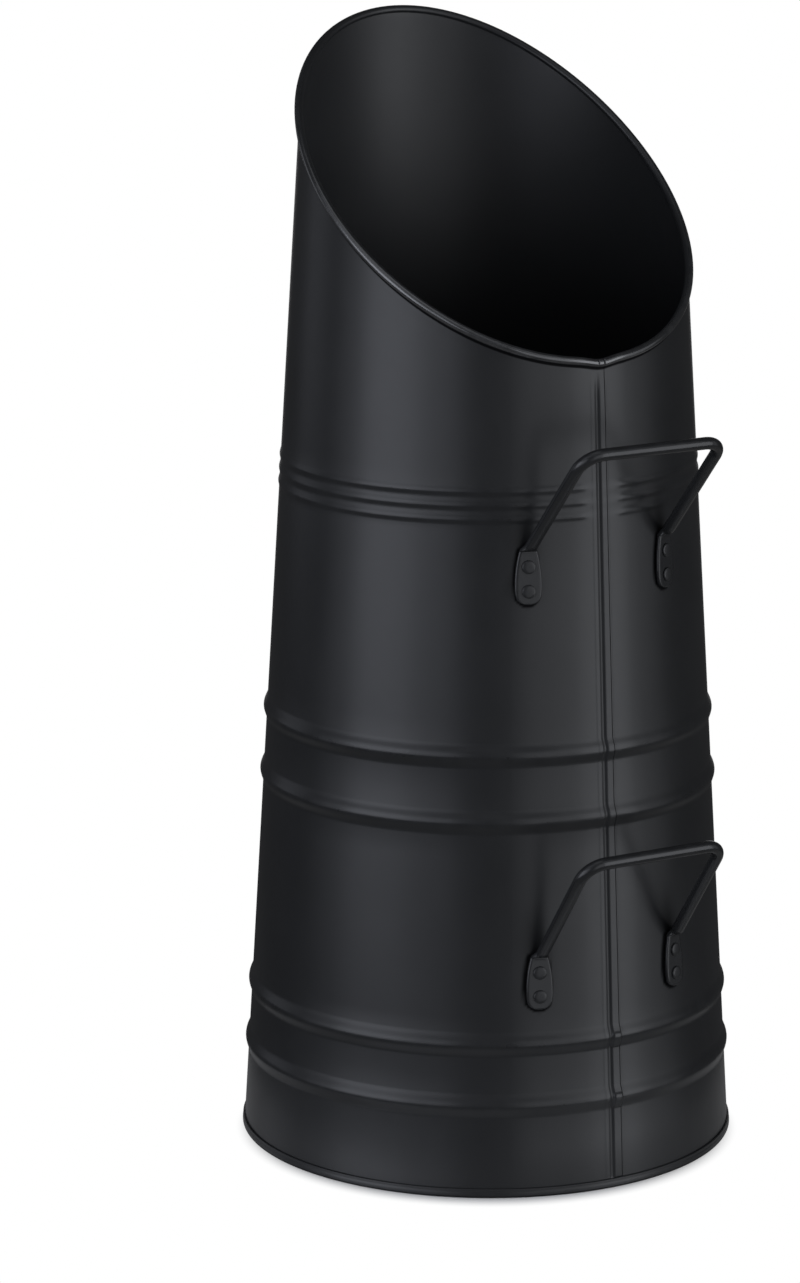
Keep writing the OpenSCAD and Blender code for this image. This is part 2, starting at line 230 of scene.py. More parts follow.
@dataclass(frozen=True)
class PowderCoat:
    """Matt to satin black powder coat on steel, blended into a near-black shader as painted shade where the
    mesh asks for it.
    """

    name: str = "satin_black_coat"
    colour: Colour = (0.0114, 0.0118, 0.0125, 1.0)
    thin_colour: Colour = (0.0132, 0.0136, 0.0143, 1.0)
    worn_colour: Colour = (0.0190, 0.0196, 0.0206, 1.0)
    # Near-black colour of the painted shade
    painted_shade_colour: Colour = (0.0012, 0.0012, 0.0014, 1.0)
    specular: float = 0.26
    roughness: float = 0.33
    roughness_swing: float = 0.04
    relief: Relief = Relief.ORANGE_PEEL
    relief_height: float = 0.012
    cloud_w: float = 45.0
    flow_w: float = 6.0
    speck_w: float = 0.9
    sway: float = 9.0
    inside_rough: float = 0.1
    wear_gloss: float = 0.18
    polish: float = 1.0
    polish_roughness: float = 0.24

    def material(self) -> bpy.types.Material:
        """Builds the coat from noises on object coordinates and from the mesh's own values.

        Those are wear, which polishes the coat, a shade value, which blends in a near-black shader as painted
        shade in gaps and creases, under the curl, round the handles' ends, behind the legs and further down
        inside, and inside, which roughens it.

        Returns:
            The finished material.
        """
        made = bpy.data.materials.new(self.name)
        kit = NodeKit.emptied(made)
        place = kit.add("ShaderNodeTexCoord", None, None, "Object")
        wear, painted_shade, inside = (kit.attribute(name) for name in ("wear", "painted_shade", "inside"))
        clouds = self.noise(kit, place, self.cloud_w, 3.0)
        flow = self.noise(kit, place, self.flow_w, 2.0)
        peel = self.noise(kit, place, self.relief.value, 1.5)
        specks = self.noise(kit, place, self.speck_w, 4.0).rise(0.66, 0.74)
        colour = kit.mix(clouds.rise(0.35, 0.7), self.colour, self.thin_colour)
        worn = wear * flow.rise(0.35, 0.65) + specks * 0.12
        colour = kit.mix(worn.math("MINIMUM", 1.0), colour, self.worn_colour)
        rough = (clouds - 0.5) * self.roughness_swing + (flow - 0.5) * self.roughness_swing + self.roughness
        rough = rough - wear * self.wear_gloss + inside * self.inside_rough
        height = peel + flow * 0.6 + clouds * self.sway
        relief = {"Height": height, "Distance": self.relief_height * MM, "Strength": 1.0}
        coat = {
            "Base Color": colour,
            "Roughness": rough,
            "Normal": kit.add("ShaderNodeBump", None, relief),
            "IOR": 1.5,
            "Specular IOR Level": self.specular,
            "Coat Weight": wear.rise(0.4, 1.0) * self.polish,
            "Coat Roughness": self.polish_roughness,
        }
        # Painted shade: a near-black shader mixed in where the mesh's shade value is high
        gap = {"Base Color": self.painted_shade_colour, "Roughness": 0.8, "Specular IOR Level": 0.05}
        shaders = [kit.add("ShaderNodeBsdfPrincipled", None, values) for values in (coat, gap)]
        kit.end("Material", kit.blend(painted_shade, *shaders))
        return made

    @staticmethod
    def noise(kit: NodeKit, place: Socket, width: float, detail: float) -> Socket:
        """Noise from 0 to 1 whose patches have a width in millimetres, with finer octaves as detail."""
        values = {"Vector": place, "Scale": 1 / (width * MM), "Detail": detail, "Roughness": 0.5}
        return kit.add("ShaderNodeTexNoise", None, values)


@dataclass(frozen=True)
class DrawnWire:
    """Bare steel wire with fine draw marks."""

    name: str = "drawn_steel"
    colour: Colour = (0.26, 0.28, 0.30, 1.0)
    dull_colour: Colour = (0.16, 0.16, 0.17, 1.0)
    stain_w: float = 14.0
    roughness: float = 0.38

    def material(self) -> bpy.types.Material:
        """Builds the steel's material.

        Returns:
            The finished material.
        """
        made = bpy.data.materials.new(self.name)
        kit = NodeKit.emptied(made)
        place = kit.add("ShaderNodeTexCoord", None, None, "Object")
        marks = PowderCoat.noise(kit, place, Relief.DRAWN.value, 2.0)
        stains = PowderCoat.noise(kit, place, self.stain_w, 3.0)
        steel = {
            "Base Color": kit.mix(stains.rise(0.4, 0.65), self.colour, self.dull_colour),
            "Metallic": 1.0,
            "Roughness": marks * 0.2 + self.roughness,
        }
        kit.end("Material", kit.add("ShaderNodeBsdfPrincipled", None, steel))
        return made


# ------------------------------------------------------------------ meshes


def rise(value: Any, low: float, high: float) -> Any:
    """A smooth step from 0 at low to 1 at high, which may lie below low."""
    t = np.clip((value - low) / (high - low), 0.0, 1.0)
    return t * t * (3 - 2 * t)


def wave(share: Any) -> Any:
    """A rounded bump over a share of its width: 1 in the middle, 0 half a width away and beyond."""
    return (1 + np.cos(2 * math.pi * np.clip(share, -0.5, 0.5))) / 2


def skin(rings: np.ndarray, close_rings: bool, close_loop: bool) -> list[tuple[int, int, int, int]]:
    """Quads between neighbouring rings of points.

    Args:
        rings: Array of rings, of points, of three coordinates.
        close_rings: Whether each ring is a closed line.
        close_loop: Whether the last ring joins the first.

    Returns:
        The quads as point numbers.
    """
    count, size = rings.shape[:2]
    faces = []
    for i in range(count if close_loop else count - 1):
        k = (i + 1) % count
        for j in range(size if close_rings else size - 1):
            m = (j + 1) % size
            faces.append((i * size + j, i * size + m, k * size + m, k * size + j))
    return faces


def show(name: str, data: Any) -> bpy.types.Object:
    """Puts a new object into the scene, at the origin.

    Args:
        name: The object's name.
        data: Its mesh, lamp or camera.

    Returns:
        The object.
    """
    made = bpy.data.objects.new(name, data)
    bpy.context.scene.collection.objects.link(made)
    return made


def smooth(mesh: bpy.types.Mesh) -> None:
    """Shades all faces smooth."""
    mesh.polygons.foreach_set("use_smooth", [True] * len(mesh.polygons))


def finish_piece(
    name: str,
    points: np.ndarray,
    faces: Sequence[Sequence[int]],
    material: bpy.types.Material,
    values: dict[str, np.ndarray] | None = None,
) -> bpy.types.Object:
    """Makes an object from points in millimetres.

    Args:
        name: The piece's name.
        points: Array of points.
        faces: Faces as point numbers.
        material: Its material.
        values: Attributes for each point, by name.

    Returns:
        The object, at the origin.
    """
    mesh = bpy.data.meshes.new(name)
    mesh.from_pydata((points * MM).tolist(), [], [tuple(f) for f in faces])
    for key, value in (values or {}).items():
        mesh.attributes.new(key, "FLOAT", "POINT").data.foreach_set("value", value.astype(np.float32))
    smooth(mesh)
    mesh.materials.append(material)
    mesh.validate()
    mesh.update()
    return show(name, mesh)


def bake_nodes(source: bpy.types.Object, name: str) -> bpy.types.Object:
    """Turns an object with a live node tree into a plain mesh object.

    Args:
        source: The object that carries the modifier; it is removed.
        name: Name of the new object.

    Returns:
        The plain object.
    """
    graph = bpy.context.evaluated_depsgraph_get()
    mesh = bpy.data.meshes.new_from_object(source.evaluated_get(graph), depsgraph=graph)
    source.modifiers.clear()
    bpy.data.objects.remove(source)
    mesh.name = name
    smooth(mesh)
    return show(name, mesh)


def settle(piece: bpy.types.Object, nodes: Iterable[str]) -> None:
    """Says what a finished piece rides on and stands for, and hides the nodes that it stands for.

    Args:
        piece: The object.
        nodes: The nodes that it replaces.
    """
    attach(piece, "root")
    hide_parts(*nodes)
    LOG.info("%s: %d points, stands for %s", piece.name, len(piece.data.vertices), ", ".join(nodes))


# ------------------------------------------------------------------ the bucket


@dataclass(frozen=True)
class Cone:
    """The tapered wall without beads."""

    foot_d: float = 225.0
    top_d: float = 165.0
    height: float = 510.0
    sheet_t: float = 0.7

    @property
    def taper(self) -> float:
        """Loss of radius for each millimetre of height."""
        return (self.foot_d - self.top_d) / 2 / self.height

    def radius(self, z: Any) -> Any:
        """Radius of the outer face at a height."""
        return self.foot_d / 2 - self.taper * z

    def on_wall(self, angle: float, z: float) -> Matrix:
        """Place on the outer face, with x along the wall, y up it and z out of it.

        Args:
            angle: Angle from the seam.
            z: Height.

        Returns:
            The place as a matrix.
        """
        lean = math.atan(self.taper)
        turn = Matrix.Rotation(angle, 4, "Z")
        out = Matrix.Translation((0, -self.radius(z), z))
        return turn @ out @ Matrix.Rotation(math.pi / 2 - lean, 4, "X")


@dataclass(frozen=True)
class Bead:
    """One rolled bead: a rounded ridge that runs round the wall."""

    z: float
    width: float
    height: float
    crosses_seam: bool

    def ridge(self, z: np.ndarray) -> np.ndarray:
        """How far the bead stands out at each height."""
        return self.height * wave((z - self.z) / self.width)


@dataclass(frozen=True)
class Seam:
    """The locked seam: a raised strip between a soft valley and a fine crack."""

    strip_w: float = 4.3
    step: float = 0.35
    valley_w: float = 3.3
    valley_depth: float = 0.4
    valley_low: float = -2.8
    valley_rise: float = 0.0035
    hem_w: float = 2.2
    hem_h: float = 0.07
    crack_w: float = 0.42
    crack_depth: float = 0.3
    lip_h: float = 0.08
    lip_w: float = 1.2
    lip_gap: float = 0.4
    edge: float = 0.04
    fade: float = 13.0
    fold_w: float = 6.0
    fold_t: float = 1.4
    tab_rise: float = 0.45
    tab_h: float = 7.4
    tab_drop: float = 1.6
    tab_edge: Pair = (0.5, 1.2)
    low_z: float = 4.8

    def outside(self, s: np.ndarray, z: np.ndarray, top_z: np.ndarray) -> np.ndarray:
        """Relief of the outer face beside and on the seam.

        Args:
            s: Distance from the seam's middle, along the wall at the foot.
            z: Height.
            top_z: Height at which the seam runs into the rim.

        Returns:
            How far the face stands out.
        """
        half = self.strip_w / 2
        shown = rise(top_z - z, 1.0, self.fade) * rise(z, self.low_z - 0.6, self.low_z)
        middle = self.valley_low + self.valley_rise * z
        strip = self.step * rise(s, middle, middle + self.valley_w / 2)
        strip = strip * rise(s, half + self.edge, half - self.edge)
        valley = self.valley_depth * wave((s - middle) / self.valley_w)
        hem = self.hem_h * wave((s - middle + self.valley_w / 2 + self.hem_w / 2) / self.hem_w)
        crack = self.crack_depth * wave((s - half - self.crack_w / 2) / self.crack_w)
        lip = self.lip_h * wave((s - half - self.crack_w - self.lip_gap) / self.lip_w)
        return (strip - valley + hem - crack + lip) * shown

    def tab(self, s: np.ndarray, z: np.ndarray, bead: Bead) -> np.ndarray:
        """The flattened tab where the strip crosses a bead: soft above, sharp below.

        Args:
            s: Distance from the seam's middle.
            z: Height.
            bead: The bead that is crossed.

        Returns:
            How far the face stands out.
        """
        half = self.strip_w / 2
        low = bead.z - self.tab_drop - self.tab_h / 2
        across = rise(s, -half - 0.15, -half + 0.25) * rise(s, half + 0.05, half - 0.2)
        sharp, soft = self.tab_edge
        top = low + self.tab_h
        return self.tab_rise * across * rise(z, low, low + sharp) * rise(z, top, top - soft)

    def tab_rows(self, bead: Bead) -> np.ndarray:
        """Heights at which a tab's lower and upper edges are drawn."""
        rows = [-0.3, 0.0, 0.12, 0.25, 0.38, 0.5, 0.8, *(self.tab_h - np.array([1.2, 0.6, 0.0]))]
        return bead.z - self.tab_drop - self.tab_h / 2 + np.array(rows)

    def inside(self, s: np.ndarray) -> np.ndarray:
        """Thickness of the folded layers inside the wall."""
        half = self.fold_w / 2
        return self.fold_t * rise(np.abs(s), half + 0.2, half - 0.2)


@dataclass(frozen=True)
class Rim:
    """The curled edge of the mouth, which follows a sine curve round the wall."""

    drop: float = 137.4
    curl_d: float = 3.8
    offset: float = 0.4
    dip: float = 1.2
    dip_reach: float = 6.0
    free_end: float = math.radians(-95)
    joint_w: float = 2.2
    notch_w: float = 0.6
    notch_depth: float = 0.8
    ease: float = 0.02
    blend: float = 0.25
    arc_points: int = 22

    def centre_z(self, cone: Cone, angle: np.ndarray) -> np.ndarray:
        """Height of the curl's centre, with the dip at the seam.

        Args:
            cone: The wall.
            angle: Angles from the seam.

        Returns:
            The heights.
        """
        middle = cone.height - self.curl_d / 2 - self.drop / 2
        away = np.arctan2(np.sin(angle), np.cos(angle)) * cone.top_d / 2 / self.dip_reach
        return middle - self.drop / 2 * np.cos(angle) - self.dip * np.exp(-away * away)

    def climb(self, cone: Cone, angle: np.ndarray) -> np.ndarray:
        """How much taller than wide a level cut through the sloping curl is."""
        slope = self.drop / 2 * np.sin(angle) / cone.radius(self.centre_z(cone, angle))
        return np.sqrt(1 + slope * slope)

    def notches(self, s: float) -> float:
        """Depth of the two notches beside the folded block at the seam."""
        middle = (self.joint_w + self.notch_w) / 2
        return sum(self.notch_depth * wave((s - side * middle) / self.notch_w) for side in (-1, 1))


@dataclass
class Bucket:
    """The rolled sheet: wall, beads, locked seam and curled rim, as one closed skin."""

    cone: Cone = field(default_factory=Cone)
    seam: Seam = field(default_factory=Seam)
    rim: Rim = field(default_factory=Rim)
    low_pair: Pair = (55.7, 27.8)
    mid_pair: Pair = (184.4, 29.6)
    bead_w: float = 12.0
    bead_h: float = 1.6
    fine_z: float = 309.7
    fine_pitch: float = 6.1
    fine_w: float = 5.6
    fine_h: float = 0.52
    fine_gap: float = 15.0
    fine_fade: float = 8.0
    band_z: float = 324.6
    low_z: float = 0.9
    least_step: float = 0.04
    close_step: float = 0.75
    close_wall: Pair = (40.0, 12.0)
    far_step: float = 4.6
    rows_outside: tuple[int, int, float] = (15, 9, 10.0)
    rows_inside: tuple[int, int, float] = (7, 5, 16.0)
    band_counts: tuple[int, int] = (14, 8)
    curl_rows: tuple[float, ...] = (2.4, 2.1, 1.85, 1.5, 1.0, 0.5, 0.12, 0.0)
    ends: tuple[Pair, ...] = ((42.2, 277.4), (37.8, 96.8))
    # The end_, leg_, inside_ and under_ values shape painted shade: a dark band round each handle's flattened
    # end, a painted shadow behind each leg, darkening further down inside and a dark line under the curl
    end_half: Pair = (6.1, 11.9)
    end_belly: Pair = (2.85, 110.0)
    end_shade: Pair = (3.0, 1.1)
    end_widen: Pair = (4.0, 1.9)
    tip_bend: float = 0.08
    leg_shade: Pair = (4.8, 31.0)
    leg_slope: float = 0.13
    inside_shade: float = 0.68
    inside_reach: Pair = (430.0, 335.0)
    under_shade: Pair = (1.25, 1.0)
    near_reach: Pair = (30.0, 8.0)

    @property
    def beads(self) -> list[Bead]:
        """The two pairs of beads, then the three fine ones.

        Returns:
            The beads.
        """
        pairs = [z + side * pitch / 2 for z, pitch in (self.low_pair, self.mid_pair) for side in (-1, 1)]
        fine = [self.fine_z + row * self.fine_pitch for row in (-1, 0, 1)]
        return [Bead(z, self.bead_w, self.bead_h, True) for z in pairs] + [
            Bead(z, self.fine_w, self.fine_h, False) for z in fine
        ]

    def stations(self) -> np.ndarray:
        """Where the skin is drawn: close together at the seam and under the handles' ends.

        Returns:
            Distances along the foot, once round from left of the seam.
        """
        half = self.cone.foot_d * math.pi / 2
        notch = (self.rim.joint_w + self.rim.notch_w) / 2
        crack = self.seam.strip_w / 2
        near = np.concatenate([
            # The plain wall and the ends of the fine beads, then the valley and the strip
            np.arange(-14.0, -6.2, 0.9),
            np.arange(-6.1, 1.9, 0.27),
            # The crack and its lip, then the plain wall again
            crack + np.array([-0.12, -0.06, 0.0, 0.05, 0.12, 0.21, 0.3, 0.37, 0.42, 0.5, 0.7]),
            np.arange(3.2, 4.6, 0.4),
            np.arange(5.0, 14.1, 0.9),
            # The notches at the rim's joint
            [side * notch + shift for side in (-1, 1) for shift in (-0.3, -0.15, 0.0, 0.15, 0.3)],
        ])
        near = np.sort(near)
        near = near[np.concatenate([[True], np.diff(near) > self.least_step])]
        rest = 2 * half - near[-1] + near[0]
        far = np.linspace(near[-1], 2 * half + near[0], int(rest / self.far_step))[1:-1]
        end_s, reach = self.close_wall
        close = np.arange(end_s - reach + 1, end_s + reach - 1, self.close_step)
        far = far[(np.abs(far - end_s) > reach) & (np.abs(far - 2 * half + end_s) > reach)]
        return np.sort(np.concatenate([near, far, close, 2 * half - close]))

    def levels(self, outside: bool) -> np.ndarray:
        """Heights at which the wall below the band is drawn.

        Args:
            outside: Whether it is the outer face, where the tabs and the handles' ends need rows too.

        Returns:
            The heights, from the lowest up.
        """
        bead_rows, fine_rows, plain_step = self.rows_outside if outside else self.rows_inside
        rows = [np.array([self.low_z]), self.seam.low_z + np.array([-0.6, -0.2, 0.2])]
        for bead in self.beads:
            count = bead_rows if bead.crosses_seam else fine_rows
            rows.append(np.linspace(bead.z - bead.width / 2, bead.z + bead.width / 2, count))
        if outside:
            rows += [self.seam.tab_rows(bead) for bead in self.beads[:2]]
            below = [-14.5, -13.2, -12.2, -11.4, -10.4, -9.0]
            above = [11.6, 13.0, 14.4, 17.0, 21.0, 25.0, 31.0, 38.0]
            rows += [z + np.array(below + above) for _, z in self.ends]
        rows.append(np.array([self.band_z]))
        levels = np.unique(np.round(np.concatenate(rows), 3))
        filled = [levels[:1]]
        for low, high in zip(levels[:-1], levels[1:]):
            steps = max(1, math.ceil((high - low) / plain_step))
            filled.append(np.linspace(low, high, steps + 1)[1:])
        return np.concatenate(filled)

    def band_rows(self, end: float, count: int) -> np.ndarray:
        """Heights above the fine beads, close together just under the curl.

        Args:
            end: Height at which the wall runs into the curl.
            count: Number of rows below the close ones.

        Returns:
            The heights, from the lowest up.
        """
        last = end - 3.0
        wide = self.band_z + (last - self.band_z) * np.arange(1, count + 1) / count
        return np.concatenate([wide, end - np.array(self.curl_rows)])

    def angle(self, s: Any, z: Any) -> Any:
        """Angle of a station, which near the seam keeps its distance from it in millimetres.

        Args:
            s: Distance along the foot.
            z: Height.

        Returns:
            The angle from the seam.
        """
        foot = self.cone.radius(0)
        near = rise(abs(s), *self.near_reach)
        return s / foot * (1 + near * (foot / self.cone.radius(z) - 1))

    def outer(self, along: np.ndarray, z: np.ndarray, top_z: float) -> np.ndarray:
        """Radius of the outer face, with its beads and seam."""
        radius = self.cone.radius(z) + self.hollow(along, z) + self.seam.outside(along, z, top_z)
        return radius + sum(self.seam.tab(along, z, bead) for bead in self.beads[:2])

    def hollow(self, s: np.ndarray, z: np.ndarray) -> np.ndarray:
        """How far the beads push the sheet out."""
        gap = rise(np.abs(s), (self.fine_gap - self.fine_fade) / 2, (self.fine_gap + self.fine_fade) / 2)
        return sum(bead.ridge(z) * (1.0 if bead.crosses_seam else gap) for bead in self.beads)

    def section(self, s: float) -> dict[str, np.ndarray]:
        """The closed section of the sheet at one station.

        Args:
            s: Distance from the seam, along the wall near it and along the foot further off.

        Returns:
            Radii, heights, angles, the painted shade under the curl and in its notches, and the part
            along the section: 0 to 1 outside, 2 to 3 inside.
        """
        cone, rim = self.cone, self.rim
        centre_z = cone.height - rim.drop / 2
        for _ in range(5):
            angle = float(self.angle(s, centre_z))
            centre_z = float(rim.centre_z(cone, angle))
        climb = float(rim.climb(cone, angle))
        notch = float(rim.notches(angle * cone.radius(centre_z)))
        curl_r = rim.curl_d / 2
        cavity_r = curl_r - cone.sheet_t
        inside_a = 2 * math.pi - math.acos(-rim.offset / cavity_r)
        outside_a = 2 * math.pi - math.acos(-(rim.offset + cone.sheet_t) / curl_r)
        centre_r = cone.radius(centre_z) + rim.offset
        outer_end = centre_z + cavity_r * math.sin(inside_a) * climb
        inner_end = centre_z + curl_r * math.sin(outside_a) * climb

        z_out = np.concatenate([self.levels(True), self.band_rows(outer_end, self.band_counts[0])])
        along = self.angle(s, z_out) * cone.radius(z_out)
        r_out = self.outer(along, z_out, centre_z - curl_r)
        count = rim.arc_points
        cavity_a = inside_a + (rim.free_end - inside_a) * np.arange(1, count + 1) / count
        curl_a = rim.free_end + (outside_a - rim.free_end) * np.arange(0, count * 2) / (count * 2)
        # The notches cut the top and front of the curl, and its last part blends into the wall
        worn_r = curl_r - rim.ease - notch * rise(np.sin(curl_a - 0.2), -0.9, 0.2)
        worn_r = worn_r - rim.blend * rise(curl_a, outside_a - 0.75, outside_a)
        z_in = np.concatenate([self.levels(False), self.band_rows(inner_end, self.band_counts[1])])[::-1]
        along_in = self.angle(s, z_in) * cone.radius(z_in)
        # The folded layers start above the bottom and end below the curl
        fold = self.seam.inside(along_in) * rise(z_in, 6.0, 6.6)
        fold = fold * rise(centre_z - curl_r - 1.0 - z_in, 0.0, 0.6)
        r_in = cone.radius(z_in) + self.hollow(along_in, z_in) - cone.sheet_t - fold
        # Painted shade: a dark line on the wall just under the curl, the curl's hollow, its underside and its
        # notches
        low = centre_z - curl_r * climb
        cut = rise(np.sin(curl_a), -0.6, 0.0) * rise(curl_a, outside_a, outside_a - 1.2)
        cut = 0.95 * notch / rim.notch_depth * cut
        return {
            "under": np.concatenate([
                0.97 * rise(z_out, low - self.under_shade[0], low - self.under_shade[1]),
                np.ones(len(cavity_a)),
                np.maximum(0.95 * rise(curl_a, -1.1, -1.35), cut),
                np.zeros(len(z_in)),
            ]),
            "radius": np.concatenate([
                r_out,
                centre_r + cavity_r * np.cos(cavity_a),
                centre_r + worn_r * np.cos(curl_a),
                r_in,
            ]),
            "height": np.concatenate([
                z_out,
                centre_z + cavity_r * np.sin(cavity_a) * climb,
                centre_z + worn_r * np.sin(curl_a) * climb,
                z_in,
            ]),
            "angle": np.concatenate([
                self.angle(s, z_out),
                np.full(len(cavity_a) + len(curl_a), angle),
                self.angle(s, z_in),
            ]),
            "part": np.concatenate([
                np.linspace(0, 1, len(z_out)),
                np.full(len(cavity_a), 1.0),
                np.linspace(1, 2, len(curl_a)),
                np.linspace(2, 3, len(z_in)),
            ]),
        }

    def build(self, material: bpy.types.Material) -> bpy.types.Object:
        """Makes the bucket's skin.

        Args:
            material: The coat.

        Returns:
            The piece.
        """
        rings, wear, painted_shade, inside = [], [], [], []
        for s in self.stations():
            cut = self.section(float(s))
            r, a, z = cut["radius"], cut["angle"] + FRONT, cut["height"]
            rings.append(np.stack([r * np.cos(a), r * np.sin(a), z], axis=1))
            wear.append(self.wear(z, cut["part"]))
            # Painted shade in the seam's crack, round the handles' ends, behind the legs, under the curl and
            # further down inside
            painted_shade.append(self.painted_shade(float(s), z, cut["part"], cut["under"]))
            inside.append(np.clip(cut["part"] * 4 - 7.5, 0, 1))
        rings = np.array(rings)
        faces = skin(rings, close_rings=True, close_loop=True)
        values = {
            "wear": np.concatenate(wear),
            "painted_shade": np.concatenate(painted_shade),
            "inside": np.concatenate(inside),
        }
        piece = finish_piece("bucket_sheet", rings.reshape(-1, 3), faces, material, values)
        settle(piece, ["body_shell"])
        return piece

    def wear(self, z: np.ndarray, part: np.ndarray) -> np.ndarray:
        """Where the coat is polished: on the crests of the beads and along the front of the curl.

        Args:
            z: Heights.
            part: The part along the section.

        Returns:
            The wear, from 0 to 1.
        """
        worn = sum(0.28 * bead.ridge(z) / bead.height for bead in self.beads)
        curl = np.clip(1 - np.abs(part - 1.3) / 0.34, 0, 1) * (part > 1) * (part < 2)
        return np.clip(worn * (part <= 1) + 2.0 * curl, 0, 1)

    def painted_shade(self, s: float, z: np.ndarray, part: np.ndarray, under: np.ndarray) -> np.ndarray:
        """Painted shade where little light gets: it blends the coat towards a near-black shader.

        Args:
            s: Distance from the seam.
            z: Heights.
            part: The part along the section.
            under: Painted shade under the curl and in its notches.

        Returns:
            The painted shade, from 0 to 1.
        """
        # A painted dark line along the seam's crack
        half = self.seam.strip_w / 2
        crack = math.exp(-(((s - half - self.seam.crack_w / 2) / 0.18) ** 2))
        shade_amount = 0.8 * crack * (part < 1) * rise(z, self.seam.low_z - 1, self.seam.low_z)
        # A painted shadow round each flattened end, broadest on its left side
        turn = 2 * math.pi * self.cone.radius(0)
        half_w, half_h = self.end_half
        for (end_s, end_z), side in product(self.ends, (-1, 1)):
            across = (s - side * end_s + turn / 2) % turn - turn / 2
            beside = half_w - (z - end_z + self.end_belly[0]) ** 2 / self.end_belly[1]
            aside = np.maximum(0.0, abs(across) - beside) * (1.0 if across < 0 else self.end_widen[0])
            tip_in = self.tip_bend * across * across
            above = np.maximum(0.0, np.abs(z - end_z) - half_h + tip_in * (z < end_z))
            above = above * np.where(z < end_z, self.end_widen[1], 1.0)
            shade_amount = shade_amount + 0.97 * (part < 1) * rise(np.hypot(aside, above), *self.end_shade)
            # A painted shadow on the wall behind each leg, leaning left as it rises
            up = z - end_z - half_h
            behind = np.exp(-(((across + self.leg_slope * up) / self.leg_shade[0]) ** 2))
            behind = behind * rise(up, self.leg_shade[1], -8.0) * rise(up, -2.0, 0.0)
            shade_amount = shade_amount + 0.92 * (part < 1) * behind
        # Painted shade, darker further down inside the bucket
        painted_inside_shade = self.inside_shade * (part >= 2) * rise(z, *self.inside_reach)
        return np.clip(shade_amount + under + painted_inside_shade, 0, 1)


@dataclass
class Foot:
    """The bottom: a flat disc whose edge is folded round the wall's lower edge."""

    cone: Cone = field(default_factory=Cone)
    sheet_t: float = 0.7
    ring_h: float = 4.5
    lift: float = 5.0
    bend_r: float = 0.8
    lip_h: float = 1.0
    clear: float = 0.2
    ease: float = 0.04
    # Height of the painted shade along the ring's lower edge
    dark_h: float = 1.3
    steps: int = 8
    segments: int = 288

    def inner_r(self, z: float) -> float:
        """Outer face of the disc's edge, just inside the wall."""
        return self.cone.radius(z) - self.cone.sheet_t - self.clear

    def arc(self, centre: Pair, r: float, start: float, end: float) -> list[Pair]:
        """Radii and heights along an arc of radius r round a centre, between two angles in degrees."""
        angles = np.radians(np.linspace(start, end, self.steps + 1))
        return [(centre[0] + r * math.cos(a), centre[1] + r * math.sin(a)) for a in angles]

    @property
    def ring_r(self) -> float:
        """Radius of the foot ring's outer face."""
        return self.cone.radius(0) + self.clear + self.sheet_t - self.ease

    def section(self) -> list[Pair]:
        """Section of the disc and its folded edge, from the middle of the underside and round.

        Returns:
            Radii and heights.
        """
        t, ring_r = self.sheet_t, self.ring_r
        bend = (self.inner_r(self.lift) - t - self.bend_r, self.lift - self.bend_r)
        flat = [bend[0] * k / 10 for k in range(1, 10)]
        return [
            (0.0, self.lift),
            *[(r, self.lift) for r in flat],
            *self.arc(bend, self.bend_r, 90, 0),
            *self.arc((self.inner_r(0), t), t, 180, 270),
            # The ring's lower edge, its slightly round face and its upper edge
            *self.arc((ring_r - 1.5 * t, t * 1.5), t * 1.5, 270, 360),
            *self.arc((ring_r - 5.5 * t, t * 2.0), t * 5.5, 3, 24),
            *self.arc((ring_r - 1.05 * t, self.ring_h - 1.1 * t), 0.75 * t, 10, 90),
            (self.cone.radius(self.ring_h) + self.clear, self.ring_h - 0.3 * t),
            (ring_r - t, self.ring_h - self.lip_h - 0.3),
            (ring_r - t, t),
            (self.inner_r(0), t),
            *self.arc(bend, self.bend_r + t, 0, 90),
            *[(r, self.lift + t) for r in reversed(flat)],
            (0.0, self.lift + t),
        ]

    def build(self, material: bpy.types.Material) -> bpy.types.Object:
        """Turns the section round the axis.

        Args:
            material: The coat.

        Returns:
            The piece.
        """
        section = np.array(self.section())
        angles = np.linspace(0, 2 * math.pi, self.segments, endpoint=False)
        r, z = section.T
        rings = np.array([np.stack([r * math.cos(a), r * math.sin(a), z], axis=1) for a in angles])
        faces = skin(rings, close_rings=False, close_loop=True)
        points = rings.reshape(-1, 3)
        z = points[:, 2]
        depth = self.ring_r - np.hypot(points[:, 0], points[:, 1])
        wear = 0.5 * rise(depth, 0.3, 0.0) * rise(z, 0.2, 3.4)
        # Painted shade in the groove at the ring's top and along its lower edge at the floor
        painted_shade = rise(z, self.ring_h - 0.5, self.ring_h) * (depth > 0.75) * (depth < 2)
        painted_shade = np.maximum(painted_shade, 0.9 * rise(z, self.dark_h, 0.15) * (depth < 3))
        piece = finish_piece("bottom_disc", points, faces, material, {"wear": wear, "painted_shade": painted_shade})
        weld(piece)
        settle(piece, ["base_disc"])
        return piece


def weld(piece: bpy.types.Object) -> None:
    """Merges points that lie together, such as those at a pole, and turns all faces outwards.

    Args:
        piece: The object, whose mesh is changed.
    """
    work = bmesh.new()
    work.from_mesh(piece.data)
    bmesh.ops.remove_doubles(work, verts=work.verts, dist=1e-7)
    bmesh.ops.recalc_face_normals(work, faces=work.faces)
    work.to_mesh(piece.data)
    work.free()
    smooth(piece.data)
    piece.data.update()


# ------------------------------------------------------------------ handles


